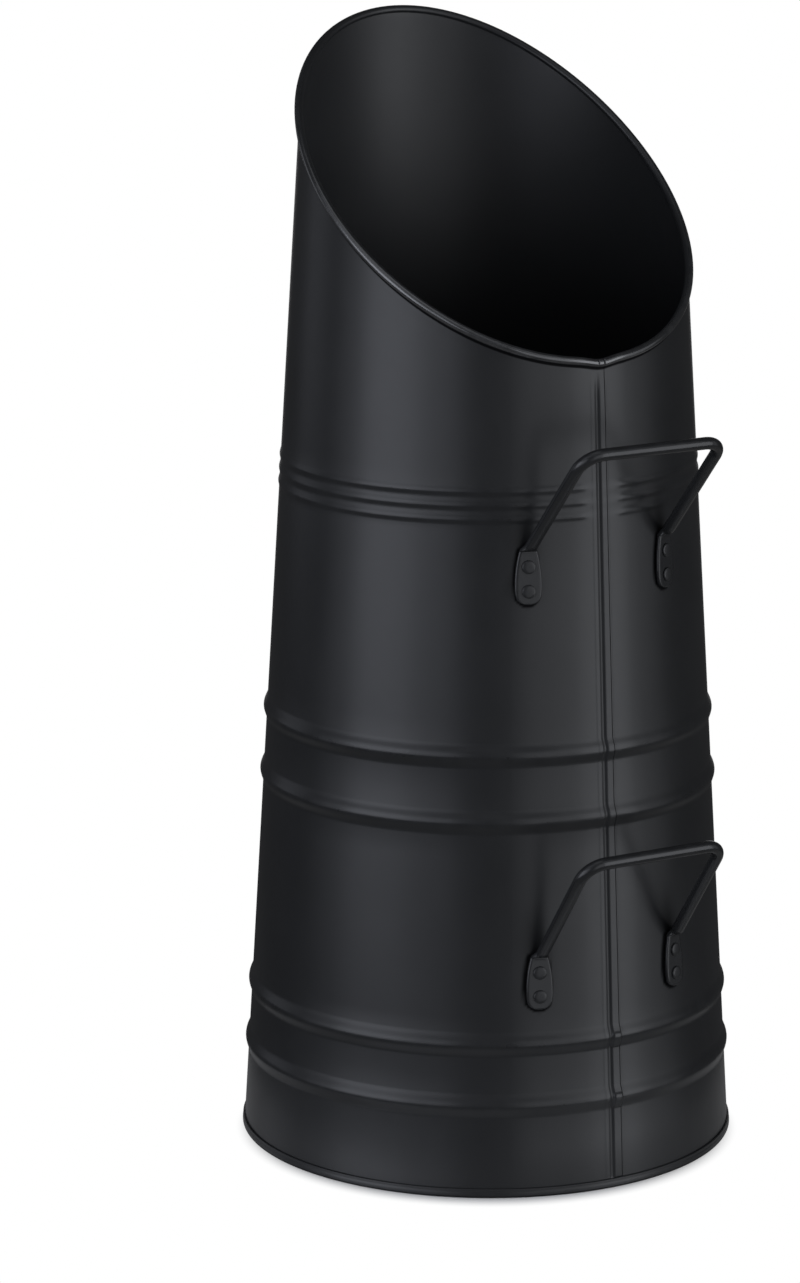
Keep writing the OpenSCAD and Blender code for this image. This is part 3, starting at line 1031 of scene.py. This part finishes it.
@dataclass
class Cut:
    """One section of a handle: where it lies and what shape it has."""

    centre: Vector
    along: Vector
    out: Vector
    half_w: float
    half_t: float
    corner: float
    roundness: float
    front: float = 0.0
    # Painted shade in a crease on the section's front
    shade_amount: float = 0.0

    def flat_points(
        self, corner_points: int, wide_points: int, narrow_points: int
    ) -> tuple[np.ndarray, np.ndarray]:
        """Points of the section in its own plane, between a flat bar and a round rod.

        Args:
            corner_points: Points round each edge of the flat bar.
            wide_points: Points between the edges on its two broad sides.
            narrow_points: Points between the edges on its two narrow sides.

        Returns:
            The points, once round, and how far each lies on the middle of the front.
        """
        corner = min(self.corner, self.half_w * 0.98, self.half_t * 0.98)
        x, y = self.half_w - corner, self.half_t - corner
        flat = []
        corners = [(x, y), (-x, y), (-x, -y), (x, -y)]
        sides = [(0, corner), (-corner, 0), (0, -corner), (corner, 0)]
        for k, (cx, cy) in enumerate(corners):
            for a in np.linspace(0, math.pi / 2, corner_points) + k * math.pi / 2:
                flat.append((cx + corner * math.cos(a), cy + corner * math.sin(a)))
            nx, ny = corners[(k + 1) % 4]
            count = narrow_points if k % 2 else wide_points
            for step in range(1, count + 1):
                f = step / (count + 1)
                flat.append((cx + (nx - cx) * f + sides[k][0], cy + (ny - cy) * f + sides[k][1]))
        turn = np.arange(len(flat)) + (narrow_points + 1) / 2
        turn = turn * 2 * math.pi / len(flat)
        oval = np.stack([self.half_w * np.cos(turn), self.half_t * np.sin(turn)], axis=1)
        points = np.array(flat) * (1 - self.roundness) + oval * self.roundness
        inner = rise(np.abs(points[:, 0]) / self.half_w, 0.92, 0.45) * (points[:, 1] > 0)
        points[:, 1] += self.front * inner
        return points, inner

    def outline(self, *counts: int) -> tuple[list[Vector], np.ndarray]:
        """Places the points of the section.

        Args:
            *counts: Points round each edge and between the edges, broad and narrow sides.

        Returns:
            The points, once round, and the painted shade of each in a crease.
        """
        points, inner = self.flat_points(*counts)
        across = self.along.cross(self.out).normalized()
        out = across.cross(self.along).normalized()
        return [self.centre + across * float(px) + out * float(py) for px, py in points], self.shade_amount * inner


@dataclass
class Handle:
    """A bent rod with both ends pressed flat against the wall."""

    name: str
    z: float
    lean: float
    leg: float
    cone: Cone = field(default_factory=Cone)
    rod_d: float = 5.49
    spacing: float = 71.2
    bend_r: float = 9.5
    plate_w: float = 12.2
    plate_t: float = 2.0
    side_r: float = 55.0
    tip_r: float = 7.8
    tip_blend: float = 0.7
    plate_down: float = 11.4
    plate_up: float = 12.4
    plate_clear: float = 0.1
    neck_rise: float = 2.8
    neck_out: float = 3.6
    edge_r: float = 0.8
    lip_h: float = 0.07
    press_depth: float = 0.3
    # Strength of the painted shade in each neck's crease
    crease: float = 0.85
    grip_wear: float = 0.35

    @property
    def up(self) -> Vector:
        """Direction of the legs, upwards."""
        return Vector((0, -math.sin(self.lean), math.cos(self.lean)))

    @property
    def forward(self) -> Vector:
        """Direction out of the plane of the bent rod, away from the wall and down."""
        return Vector((0, -math.cos(self.lean), -math.sin(self.lean)))

    def azimuth(self, side: int) -> float:
        """Angle of one leg's end from the seam."""
        depth = self.cone.radius(self.z) + self.plate_clear + self.plate_t / 2
        return side * math.asin(self.spacing / 2 / depth)

    def half_width(self, y: float) -> float:
        """Half the width of a flattened end, whose sides blend into its rounded tip.

        Args:
            y: Height above the middle of its rivets.

        Returns:
            The half width.
        """
        belly = self.plate_down / 4
        sides = math.sqrt(self.side_r**2 - (y + belly) ** 2) - self.side_r + self.plate_w / 2
        below = min(0.0, y - (self.tip_r - self.plate_down))
        tip = math.sqrt(max(0.0, self.tip_r**2 - below**2))
        blend = self.tip_blend
        return -blend * math.log(math.exp(-sides / blend) + math.exp(-tip / blend))

    def plate_cuts(self, side: int) -> list[Cut]:
        """Sections of one flattened end, from its tip up to the crease.

        Args:
            side: -1 for the left end, 1 for the right one.

        Returns:
            The sections.
        """
        place = self.cone.on_wall(self.azimuth(side), self.z)
        turn = place.to_3x3()
        length = self.plate_down + self.plate_up
        low = [0.02, 0.06, 0.14, 0.28, 0.45, 0.7, 1.0, 1.4, 1.9, 2.5, 3.2, 4.0, 4.9, 5.9]
        top = length - np.array([1.2, 0.9, 0.65, 0.45, 0.3, 0.2])
        cuts = []
        for up in np.concatenate([low, np.linspace(7.0, length - 1.5, 12), top]).tolist():
            y = -self.plate_down + up
            inset = max(0.0, self.edge_r - up)
            half_t = self.plate_t / 2 - self.edge_r + math.sqrt(self.edge_r**2 - inset**2)
            lip = self.lip_h * float(wave((y - self.plate_up + 0.55) / 1.6))
            cuts.append(
                Cut(
                    centre=place @ Vector((0, y, self.plate_clear + self.plate_t / 2)),
                    along=turn @ Vector((0, 1, 0)),
                    out=turn @ Vector((0, 0, 1)),
                    half_w=max(0.25, self.half_width(y)),
                    half_t=half_t,
                    corner=self.edge_r,
                    roundness=0.0,
                    front=lip,
                )
            )
        return cuts

    def neck_cuts(self, side: int, first: Cut) -> list[Cut]:
        """Sections between one flattened end and its round leg, upwards.

        Args:
            side: -1 for the left end, 1 for the right one.
            first: The flattened end's last section.

        Returns:
            The sections.
        """
        start, rod_r = self.leg_start(side), self.rod_d / 2
        cuts = []
        for f in (0.05, 0.12, 0.2, 0.3, 0.4, 0.5, 0.6, 0.7, 0.8, 0.9, 1.0):
            thick = f**0.75
            cuts.append(
                Cut(
                    centre=first.centre.lerp(start, f),
                    along=first.along.slerp(self.up, thick),
                    out=first.out.slerp(self.forward, thick),
                    half_w=first.half_w + (rod_r - first.half_w) * float(rise(f, 0.0, 1.0)),
                    half_t=first.half_t + (rod_r - first.half_t) * thick,
                    corner=self.edge_r + (rod_r - self.edge_r) * f**1.5,
                    roundness=float(rise(f, 0.1, 1.0)),
                    front=-self.press_depth * float(wave((f - 0.16) / 0.5)),
                    # Painted shade in the crease where the flat end turns into the rod
                    shade_amount=self.crease * float(wave((f - 0.13) / 0.3)),
                )
            )
        return cuts

    def leg_start(self, side: int) -> Vector:
        """Where the round rod starts."""
        depth = self.cone.radius(self.z) * math.cos(self.azimuth(side)) + self.neck_out
        return Vector((side * self.spacing / 2, -depth, self.z + self.plate_up + self.neck_rise))

    def rod_cuts(self) -> list[Cut]:
        """Sections of the round rod, from the left leg over the bar to the right leg.

        Returns:
            The sections.
        """
        up, across = self.up, Vector((1, 0, 0))
        left, right = self.leg_start(-1), self.leg_start(1)
        straight = self.leg - self.bend_r
        path = [(left + up * straight * f, up) for f in np.linspace(0.04, 1, 10)]
        hub = left + up * straight + across * self.bend_r
        for a in np.linspace(0, math.pi / 2, 13)[1:]:
            spoke = up * math.sin(a) - across * math.cos(a)
            path.append((hub + self.bend_r * spoke, up * math.cos(a) + across * math.sin(a)))
        bar = self.spacing - 2 * self.bend_r
        path += [(path[-1][0] + across * bar * f, across) for f in np.linspace(0.1, 0.9, 8)]
        hub = right + up * straight - across * self.bend_r
        for a in np.linspace(0, math.pi / 2, 13):
            spoke = up * math.cos(a) + across * math.sin(a)
            path.append((hub + self.bend_r * spoke, across * math.cos(a) - up * math.sin(a)))
        path += [(right + up * straight * f, -up) for f in np.linspace(1, 0.04, 10)[1:]]
        r = self.rod_d / 2
        return [Cut(c, t, self.forward, half_w=r, half_t=r, corner=r, roundness=1.0) for c, t in path]

    def build(self, material: bpy.types.Material) -> bpy.types.Object:
        """Lofts the whole handle from one tip to the other.

        Args:
            material: The coat.

        Returns:
            The piece.
        """
        ends = []
        for side in (-1, 1):
            plate = self.plate_cuts(side)
            ends.append(plate + self.neck_cuts(side, plate[-1]))
        for cut in ends[1]:
            cut.along = -cut.along
        cuts = ends[0] + self.rod_cuts() + ends[1][::-1]
        outlines = [cut.outline(5, 10, 2) for cut in cuts]
        rings = np.array([[tuple(p) for p in points] for points, _ in outlines])
        # Painted shade in each neck's crease, one value for each point
        crease_shades = np.concatenate([shade_amount for _, shade_amount in outlines])
        size = rings.shape[1]
        grips = [self.grip_wear * (cut.roundness == 1.0 and abs(cut.along.x) > 0.9) for cut in cuts]
        faces = skin(rings, close_rings=True, close_loop=False)
        faces += [tuple(range(size))[::-1], tuple(range((len(rings) - 1) * size, len(rings) * size))]
        points = rings.reshape(-1, 3)
        values = {"wear": np.repeat(grips, size), "painted_shade": crease_shades}
        piece = finish_piece(f"{self.name}_rod", points, faces, material, values)
        weld(piece)
        settle(piece, [self.name])
        return piece


# ------------------------------------------------------------------ rivets and wire


class GeometryTree:
    """A node tree that makes geometry, with named inputs for its sizes."""

    def __init__(self, name: str) -> None:
        """Starts an empty tree.

        Args:
            name: The tree's name.
        """
        self.tree = bpy.data.node_groups.new(name, "GeometryNodeTree")
        self.kit = NodeKit(self.tree)
        self.ids: dict[str, str] = {}
        self.socket("Geometry", "NodeSocketGeometry", "OUTPUT")
        self.socket("Geometry", "NodeSocketGeometry", "INPUT")
        self.entry: Any = None

    def socket(self, name: str, kind: str, way: str, default: Any = None) -> None:
        """Adds a named input or output.

        Args:
            name: Its name.
            kind: Its socket type.
            way: INPUT or OUTPUT.
            default: Its value.
        """
        made = self.tree.interface.new_socket(name=name, in_out=way, socket_type=kind)
        if default is not None:
            made.default_value = default
        if way == "INPUT":
            self.ids[name] = made.identifier

    def sizes(self, **values: Any) -> None:
        """Adds a number input for each size, then the tree's entry node.

        Args:
            values: The sizes' defaults, by name.
        """
        for name, value in values.items():
            kind = "NodeSocketInt" if isinstance(value, int) else "NodeSocketFloat"
            self.socket(name, kind, "INPUT", value)
        self.entry = self.kit.node("NodeGroupInput")

    def given(self, name: str) -> Socket:
        """One of the tree's inputs."""
        return Socket(self.kit, self.entry.outputs[name])

    def finish(self, geometry: Socket, material: bpy.types.Material) -> None:
        """Realizes the instances, sets the material and ends the tree.

        Args:
            geometry: What the tree has made.
            material: Its material.
        """
        real = self.kit.add("GeometryNodeRealizeInstances", None, {"Geometry": geometry})
        dressed = self.kit.add("GeometryNodeSetMaterial", None, {"Geometry": real, "Material": material})
        self.kit.node("NodeGroupOutput", None, {"Geometry": dressed})

    def run(self, source: bpy.types.Object, name: str, **values: Any) -> bpy.types.Object:
        """Runs the tree on an object and keeps the result as a plain mesh.

        Args:
            source: The object, whose mesh is the tree's input.
            name: Name of the result.
            values: Sizes, by their input's name.

        Returns:
            The result.
        """
        modifier = source.modifiers.new("nodes", "NODES")
        modifier.node_group = self.tree
        for key, value in values.items():
            modifier[self.ids[key]] = value
        return bake_nodes(source, name)


@dataclass
class Rivets:
    """Eight round-head rivets, two at each end of each handle."""

    handles: Sequence[Handle]
    pitch: float = 10.8
    head_d: float = 6.0
    head_h: float = 1.1
    edge_h: float = 0.3
    undercut: float = 0.25
    shank_d: float = 3.0
    tail_d: float = 5.0
    tail_h: float = 0.9
    clear: float = 0.1
    dent: float = 0.12
    seed: float = 7.3

    def places(self) -> list[Matrix]:
        """Seats of the eight heads, with z out of the wall.

        Returns:
            The places.
        """
        made = []
        for handle, side, row in product(self.handles, (-1, 1), (1, -1)):
            seat = Vector((0, row * self.pitch / 2, handle.plate_clear + handle.plate_t))
            wall = handle.cone.on_wall(handle.azimuth(side), handle.z)
            made.append(wall @ Matrix.Translation(seat))
        return made

    def tree(self, material: bpy.types.Material) -> GeometryTree:
        """Builds the tree that puts one rivet on each point.

        Args:
            material: The coat.

        Returns:
            The tree.
        """
        tree = GeometryTree("rivets")
        tree.sizes(
            Head_radius=0.003, Dome=0.0008, Edge=0.0003, Undercut=0.00025, Shank_radius=0.0015, Grip=0.003,
            Tail_radius=0.0025, Tail=0.0009, Dent=0.0001, Seed=0.0, Around=40, Across=14,
        )
        kit, given = tree.kit, tree.given
        shank = self.barrel(tree, given("Shank_radius"), given("Grip") + 0.0002, 0.0001)
        tail = self.barrel(tree, given("Tail_radius"), given("Tail"), given("Grip") * -1.0)
        whole = kit.node("GeometryNodeJoinGeometry")
        for part in (self.head(tree), shank, tail):
            kit.tree.links.new(part.link, whole.inputs[0])
        facing = kit.add("GeometryNodeInputNamedAttribute", {"data_type": "FLOAT_VECTOR"}, {"Name": "facing"})
        turned = kit.add("FunctionNodeAlignRotationToVector", {"axis": "Z"}, {"Vector": facing})
        copies = {"Points": given("Geometry"), "Instance": Socket(kit, whole.outputs[0]), "Rotation": turned}
        real = kit.add("GeometryNodeInstanceOnPoints", None, copies)
        real = kit.add("GeometryNodeRealizeInstances", None, {"Geometry": real})
        grain = {
            "Vector": kit.add("GeometryNodeInputPosition"),
            "W": given("Seed"),
            "Scale": 420.0,
            "Detail": 1.0,
        }
        bumps = kit.add("ShaderNodeTexNoise", {"noise_dimensions": "4D"}, grain)
        push = {0: kit.add("GeometryNodeInputNormal"), "Scale": (bumps - 0.5) * given("Dent")}
        offset = kit.add("ShaderNodeVectorMath", {"operation": "SCALE"}, push)
        tree.finish(kit.add("GeometryNodeSetPosition", None, {"Geometry": real, "Offset": offset}), material)
        return tree

    @staticmethod
    def head(tree: GeometryTree) -> Socket:
        """The domed head: a grid that is rolled round the axis, with its edge tucked under.

        Args:
            tree: The tree to add it to.

        Returns:
            Its geometry, with painted shade round its lower edge stored as a point value.
        """
        kit, given = tree.kit, tree.given
        size = {"Size X": 1.0, "Size Y": 1.0, "Vertices X": given("Around"), "Vertices Y": given("Across")}
        grid = kit.add("GeometryNodeMeshGrid", None, size)
        place = kit.node("ShaderNodeSeparateXYZ", None, {0: kit.add("GeometryNodeInputPosition")})
        turn = (Socket(kit, place.outputs[0]) + 0.5) * (2 * math.pi)
        down = (Socket(kit, place.outputs[1]) + 0.5) * 1.25
        dome = down.math("MINIMUM", 1.0) * (math.pi / 2)
        under = (down - 1.0).math("MAXIMUM", 0.0) * 4.0
        radius = given("Head_radius") * dome.math("SINE") ** 0.75 - given("Undercut") * under
        height = given("Edge") + given("Dome") * dome.math("COSINE") ** 0.55 - given("Edge") * under
        spot = {0: radius * turn.math("COSINE"), 1: radius * turn.math("SINE"), 2: height}
        rolled = {"Geometry": grid, "Position": kit.add("ShaderNodeCombineXYZ", None, spot)}
        dome_mesh = kit.add("GeometryNodeSetPosition", None, rolled)
        closed = kit.add("GeometryNodeMergeByDistance", None, {"Geometry": dome_mesh, "Distance": 1e-6})
        # Painted shade round the lower edge of the head
        outline = {"Geometry": closed, "Name": "painted_shade", "Value": down.rise(0.84, 1.0) * 0.8}
        return kit.add("GeometryNodeStoreNamedAttribute", {"data_type": "FLOAT", "domain": "POINT"}, outline)

    @staticmethod
    def barrel(tree: GeometryTree, radius: Socket, depth: Socket, top: Any) -> Socket:
        """A closed cylinder along z whose upper end is at a given height.

        Args:
            tree: The tree to add it to.
            radius: Its radius.
            depth: Its length.
            top: Height of its upper end.

        Returns:
            Its geometry.
        """
        kit = tree.kit
        size = {"Vertices": 28, "Radius": radius, "Depth": depth}
        made = kit.add("GeometryNodeMeshCylinder", {"fill_type": "TRIANGLE_FAN"}, size)
        shift = kit.add("ShaderNodeCombineXYZ", None, {2: depth * -0.5 + top})
        return kit.add("GeometryNodeTransform", None, {"Geometry": made, "Translation": shift})

    def build(self, material: bpy.types.Material) -> bpy.types.Object:
        """Makes all eight rivets as one piece.

        Args:
            material: The coat.

        Returns:
            The piece.
        """
        places = self.places()
        mesh = bpy.data.meshes.new("rivet_seats")
        mesh.from_pydata([tuple(p.translation * MM) for p in places], [], [])
        facing = np.array([tuple(p.to_3x3() @ Vector((0, 0, 1))) for p in places], np.float32)
        mesh.attributes.new("facing", "FLOAT_VECTOR", "POINT").data.foreach_set("vector", facing.ravel())
        source = show("rivet_seats", mesh)
        handle = self.handles[0]
        grip = handle.plate_t + handle.plate_clear + handle.cone.sheet_t + self.clear
        piece = self.tree(material).run(
            source,
            "handle_rivets",
            Head_radius=self.head_d / 2 * MM,
            Dome=(self.head_h - self.edge_h) * MM,
            Edge=self.edge_h * MM,
            Undercut=self.undercut * MM,
            Shank_radius=self.shank_d / 2 * MM,
            Grip=grip * MM,
            Tail_radius=self.tail_d / 2 * MM,
            Tail=self.tail_h * MM,
            Dent=self.dent * MM,
            Seed=self.seed,
        )
        names = product(("upper", "lower"), ("left", "right"), ("top", "bottom"))
        settle(piece, ["_".join(("rivet", *name)) for name in names])
        return piece


@dataclass
class RimWire:
    """The steel wire inside the curled rim."""

    bucket: Bucket
    wire_d: float = 2.2
    gap: float = 0.5
    points: int = 240

    def build(self, material: bpy.types.Material) -> bpy.types.Object:
        """Sweeps a round section along the rim.

        Args:
            material: The wire's steel.

        Returns:
            The piece.
        """
        cone, rim = self.bucket.cone, self.bucket.rim
        half_gap = self.gap / cone.top_d
        angles = np.linspace(half_gap, 2 * math.pi - half_gap, self.points)
        z = rim.centre_z(cone, angles)
        r = cone.radius(z) + rim.offset
        path = np.stack([r * np.cos(angles + FRONT), r * np.sin(angles + FRONT), z], axis=1) * MM
        mesh = bpy.data.meshes.new("rim_path")
        mesh.from_pydata(path.tolist(), [(k, k + 1) for k in range(self.points - 1)], [])
        source = show("rim_path", mesh)
        tree = GeometryTree("wire_sweep")
        tree.sizes(Radius=0.001, Sides=12)
        kit = tree.kit
        line = kit.add("GeometryNodeMeshToCurve", None, {"Mesh": tree.given("Geometry")})
        size = {"Resolution": tree.given("Sides"), "Radius": tree.given("Radius")}
        ring = kit.add("GeometryNodeCurvePrimitiveCircle", {"mode": "RADIUS"}, size)
        sweep = {"Curve": line, "Profile Curve": ring, "Fill Caps": True}
        swept = kit.add("GeometryNodeCurveToMesh", None, sweep)
        tree.finish(swept, material)
        piece = tree.run(source, "rim_steel_wire", Radius=self.wire_d / 2 * MM)
        settle(piece, ["rim_wire"])
        return piece


# ------------------------------------------------------------------ studio


@dataclass(frozen=True)
class Lamp:
    """A soft box: a rectangular lamp that faces the scuttle."""

    name: str
    azimuth: float
    elevation: float
    distance: float
    width: float
    height: float
    power: float
    colour: Triple

    def build(self, target: Vector) -> None:
        """Hangs the lamp.

        Args:
            target: The point that it faces.
        """
        data = bpy.data.lights.new(self.name, "AREA")
        data.shape = "RECTANGLE"
        data.size, data.size_y = self.width, self.height
        data.energy, data.color = self.power, self.colour
        lamp = show(self.name, data)
        a, e = math.radians(self.azimuth), math.radians(self.elevation)
        back = Vector((math.sin(a) * math.cos(e), -math.cos(a) * math.cos(e), math.sin(e)))
        lamp.location = target + back * self.distance
        lamp.rotation_euler = (-back).to_track_quat("-Z", "Y").to_euler()


@dataclass(frozen=True)
class Camera:
    """The photograph's viewpoint, found from the cone's outline and the beads' ellipses."""

    place: Triple = (-1109.1, -1788.7, 711.3)
    heading: float = 59.289
    pitch: float = 12.945
    focal_px: float = 4732.4
    frame_px: float = 1283.0
    sensor: float = 36.0
    clip: Pair = (0.05, 50.0)

    def build(self) -> None:
        """Makes the camera the scene's own."""
        data = bpy.data.cameras.new("camera")
        data.sensor_width = self.sensor
        data.lens = self.focal_px * self.sensor / self.frame_px
        data.clip_start, data.clip_end = self.clip
        made = show("camera", data)
        made.location = Vector(self.place) * MM
        h, p = math.radians(self.heading), math.radians(self.pitch)
        ahead = Vector((math.cos(h) * math.cos(p), math.sin(h) * math.cos(p), -math.sin(p)))
        made.rotation_euler = ahead.to_track_quat("-Z", "Y").to_euler()
        bpy.context.scene.camera = made


@dataclass(frozen=True)
class Studio:
    """Pale floor, white background and soft lamps."""

    lamps: tuple[Lamp, ...] = (
        Lamp("lamp_left_outer", -112.0, 5.0, 2.4, 0.9, 1.6, 3.4, COOL),
        Lamp("lamp_left", -87.8, 6.0, 2.4, 1.4, 1.55, 25.0, COOL),
        Lamp("lamp_left_inner", -60.0, 6.0, 2.4, 1.1, 1.6, 10.5, COOL),
        Lamp("lamp_left_high", -82.0, 40.0, 2.4, 1.5, 1.4, 6.5, COOL),
        Lamp("lamp_front", -31.8, 6.0, 2.4, 1.0, 2.0, 0.6, MILD),
        Lamp("lamp_right_inner", -1.0, 2.0, 2.4, 1.3, 2.1, 12.2, MILD),
        Lamp("lamp_right", 31.0, 2.0, 2.4, 1.3, 2.1, 28.0, MILD),
        Lamp("lamp_right_outer", 58.0, 2.0, 2.4, 0.8, 2.1, 3.3, MILD),
        Lamp("lamp_right_high", 25.0, 40.0, 2.4, 1.5, 1.4, 4.5, MILD),
        Lamp("lamp_front_high", -31.8, 50.0, 2.4, 1.6, 1.5, 3.5, MILD),
        Lamp("lamp_top", -32.0, 78.0, 2.4, 1.6, 1.2, 5.0, MILD),
        Lamp("lamp_behind", -146.8, 8.0, 2.4, 1.0, 1.2, 1.7, COOL),
    )
    target: Triple = (0.0, 0.0, 0.25)
    ambient: float = 0.04
    backdrop: Triple = (0.527, 0.850, 0.0)
    backdrop_reach: Pair = (0.95, 0.99)
    floor_colour: Colour = (0.62, 0.62, 0.62, 1.0)
    floor_r: float = 0.18
    shade_centre: Triple = (-0.0045, -0.0075, 0.0)
    floor_mirrored: float = 0.12
    floor_polish: float = 0.45
    polish_roughness: float = 0.15
    below: Pair = (0.38, 0.60)
    below_mirrored: float = 0.2
    clear_from: float = 0.102
    clear_to: float = 0.117

    def shown_white(self, kit: NodeKit, mirrored: Any) -> Socket:
        """Share of the background's white that a ray sees.

        Args:
            kit: The builder of the tree.
            mirrored: The share for a glossy ray; camera and transmission rays see all of it.

        Returns:
            The share as a socket.
        """
        rays = kit.node("ShaderNodeLightPath")
        seen = [Socket(kit, rays.outputs[f"Is {kind} Ray"]) for kind in ("Camera", "Transmission", "Glossy")]
        return seen[0].math("MAXIMUM", seen[1]).math("MAXIMUM", seen[2] * mirrored)

    def world(self) -> None:
        """Adds a little even light and shows a white backdrop to the camera and to glossy surfaces."""
        world = bpy.data.worlds.new("studio")
        kit = NodeKit.emptied(world)
        way = kit.add("ShaderNodeTexCoord", None, None, "Generated")
        facing = {0: way, 1: self.backdrop}
        facing = kit.add("ShaderNodeVectorMath", {"operation": "DOT_PRODUCT"}, facing, "Value")
        up = kit.add("ShaderNodeSeparateXYZ", None, {0: way}, 2)
        mirrored = facing.rise(*self.backdrop_reach) + (up * -1.0).rise(*self.below) * self.below_mirrored
        strength = self.shown_white(kit, mirrored) * (1 - self.ambient) + self.ambient
        kit.end("World", kit.add("ShaderNodeBackground", None, {"Color": WHITE, "Strength": strength}))
        bpy.context.scene.world = world

    def floor_material(self) -> bpy.types.Material:
        """A matt floor with a polish for glossy rays, which turns into the white backdrop further out.

        Returns:
            The finished material.
        """
        made = bpy.data.materials.new("floor")
        kit = NodeKit.emptied(made)
        place = kit.add("ShaderNodeTexCoord", None, None, "Object")
        away = {0: place, 1: self.shade_centre}
        away = kit.add("ShaderNodeVectorMath", {"operation": "DISTANCE"}, away, "Value")
        white = away.rise(self.clear_from, self.clear_to) * self.shown_white(kit, self.floor_mirrored)
        glossy = kit.add("ShaderNodeLightPath", None, None, "Is Glossy Ray") * self.floor_polish
        matt = kit.add("ShaderNodeBsdfDiffuse", None, {"Color": self.floor_colour})
        polish = {"Color": WHITE, "Roughness": self.polish_roughness}
        base = kit.blend(glossy, matt, kit.add("ShaderNodeBsdfGlossy", None, polish))
        glow = kit.add("ShaderNodeEmission", None, {"Color": WHITE, "Strength": 1.0})
        kit.end("Material", kit.blend(white, base, glow))
        return made

    def floor(self) -> None:
        """Lays the floor, which keeps the scuttle's shadow."""
        turns = np.linspace(0, 2 * math.pi, 96, endpoint=False)
        mesh = bpy.data.meshes.new("floor")
        edge = [(self.floor_r * math.cos(a), self.floor_r * math.sin(a), 0.0) for a in turns]
        mesh.from_pydata(edge, [], [tuple(range(len(edge)))])
        mesh.materials.append(self.floor_material())
        show("floor", mesh)

    def build(self) -> None:
        """Sets up the whole studio."""
        self.world()
        self.floor()
        for lamp in self.lamps:
            lamp.build(Vector(self.target))
        bpy.context.scene.view_settings.view_transform = "Standard"


# ------------------------------------------------------------------ main


def main() -> None:
    """Builds the scuttle, its studio and its camera."""
    logging.basicConfig(level=logging.INFO, format="%(name)s: %(message)s")
    Camera().build()
    Studio().build()
    coat = PowderCoat().material()
    rod_coat = PowderCoat(
        name="satin_black_rod_coat", roughness=0.25, sway=0.0, wear_gloss=0.1, polish=0.0
    ).material()
    steel = DrawnWire().material()
    bucket = Bucket()
    bucket.build(coat)
    Foot().build(coat)
    handles = [
        Handle("upper_handle", 277.4, math.radians(42.1), 62.0),
        Handle("lower_handle", 96.8, math.radians(36.2), 59.2),
    ]
    for handle in handles:
        handle.build(rod_coat)
    Rivets(handles).build(coat)
    RimWire(bucket).build(steel)


if __name__ == "__main__":
    main()
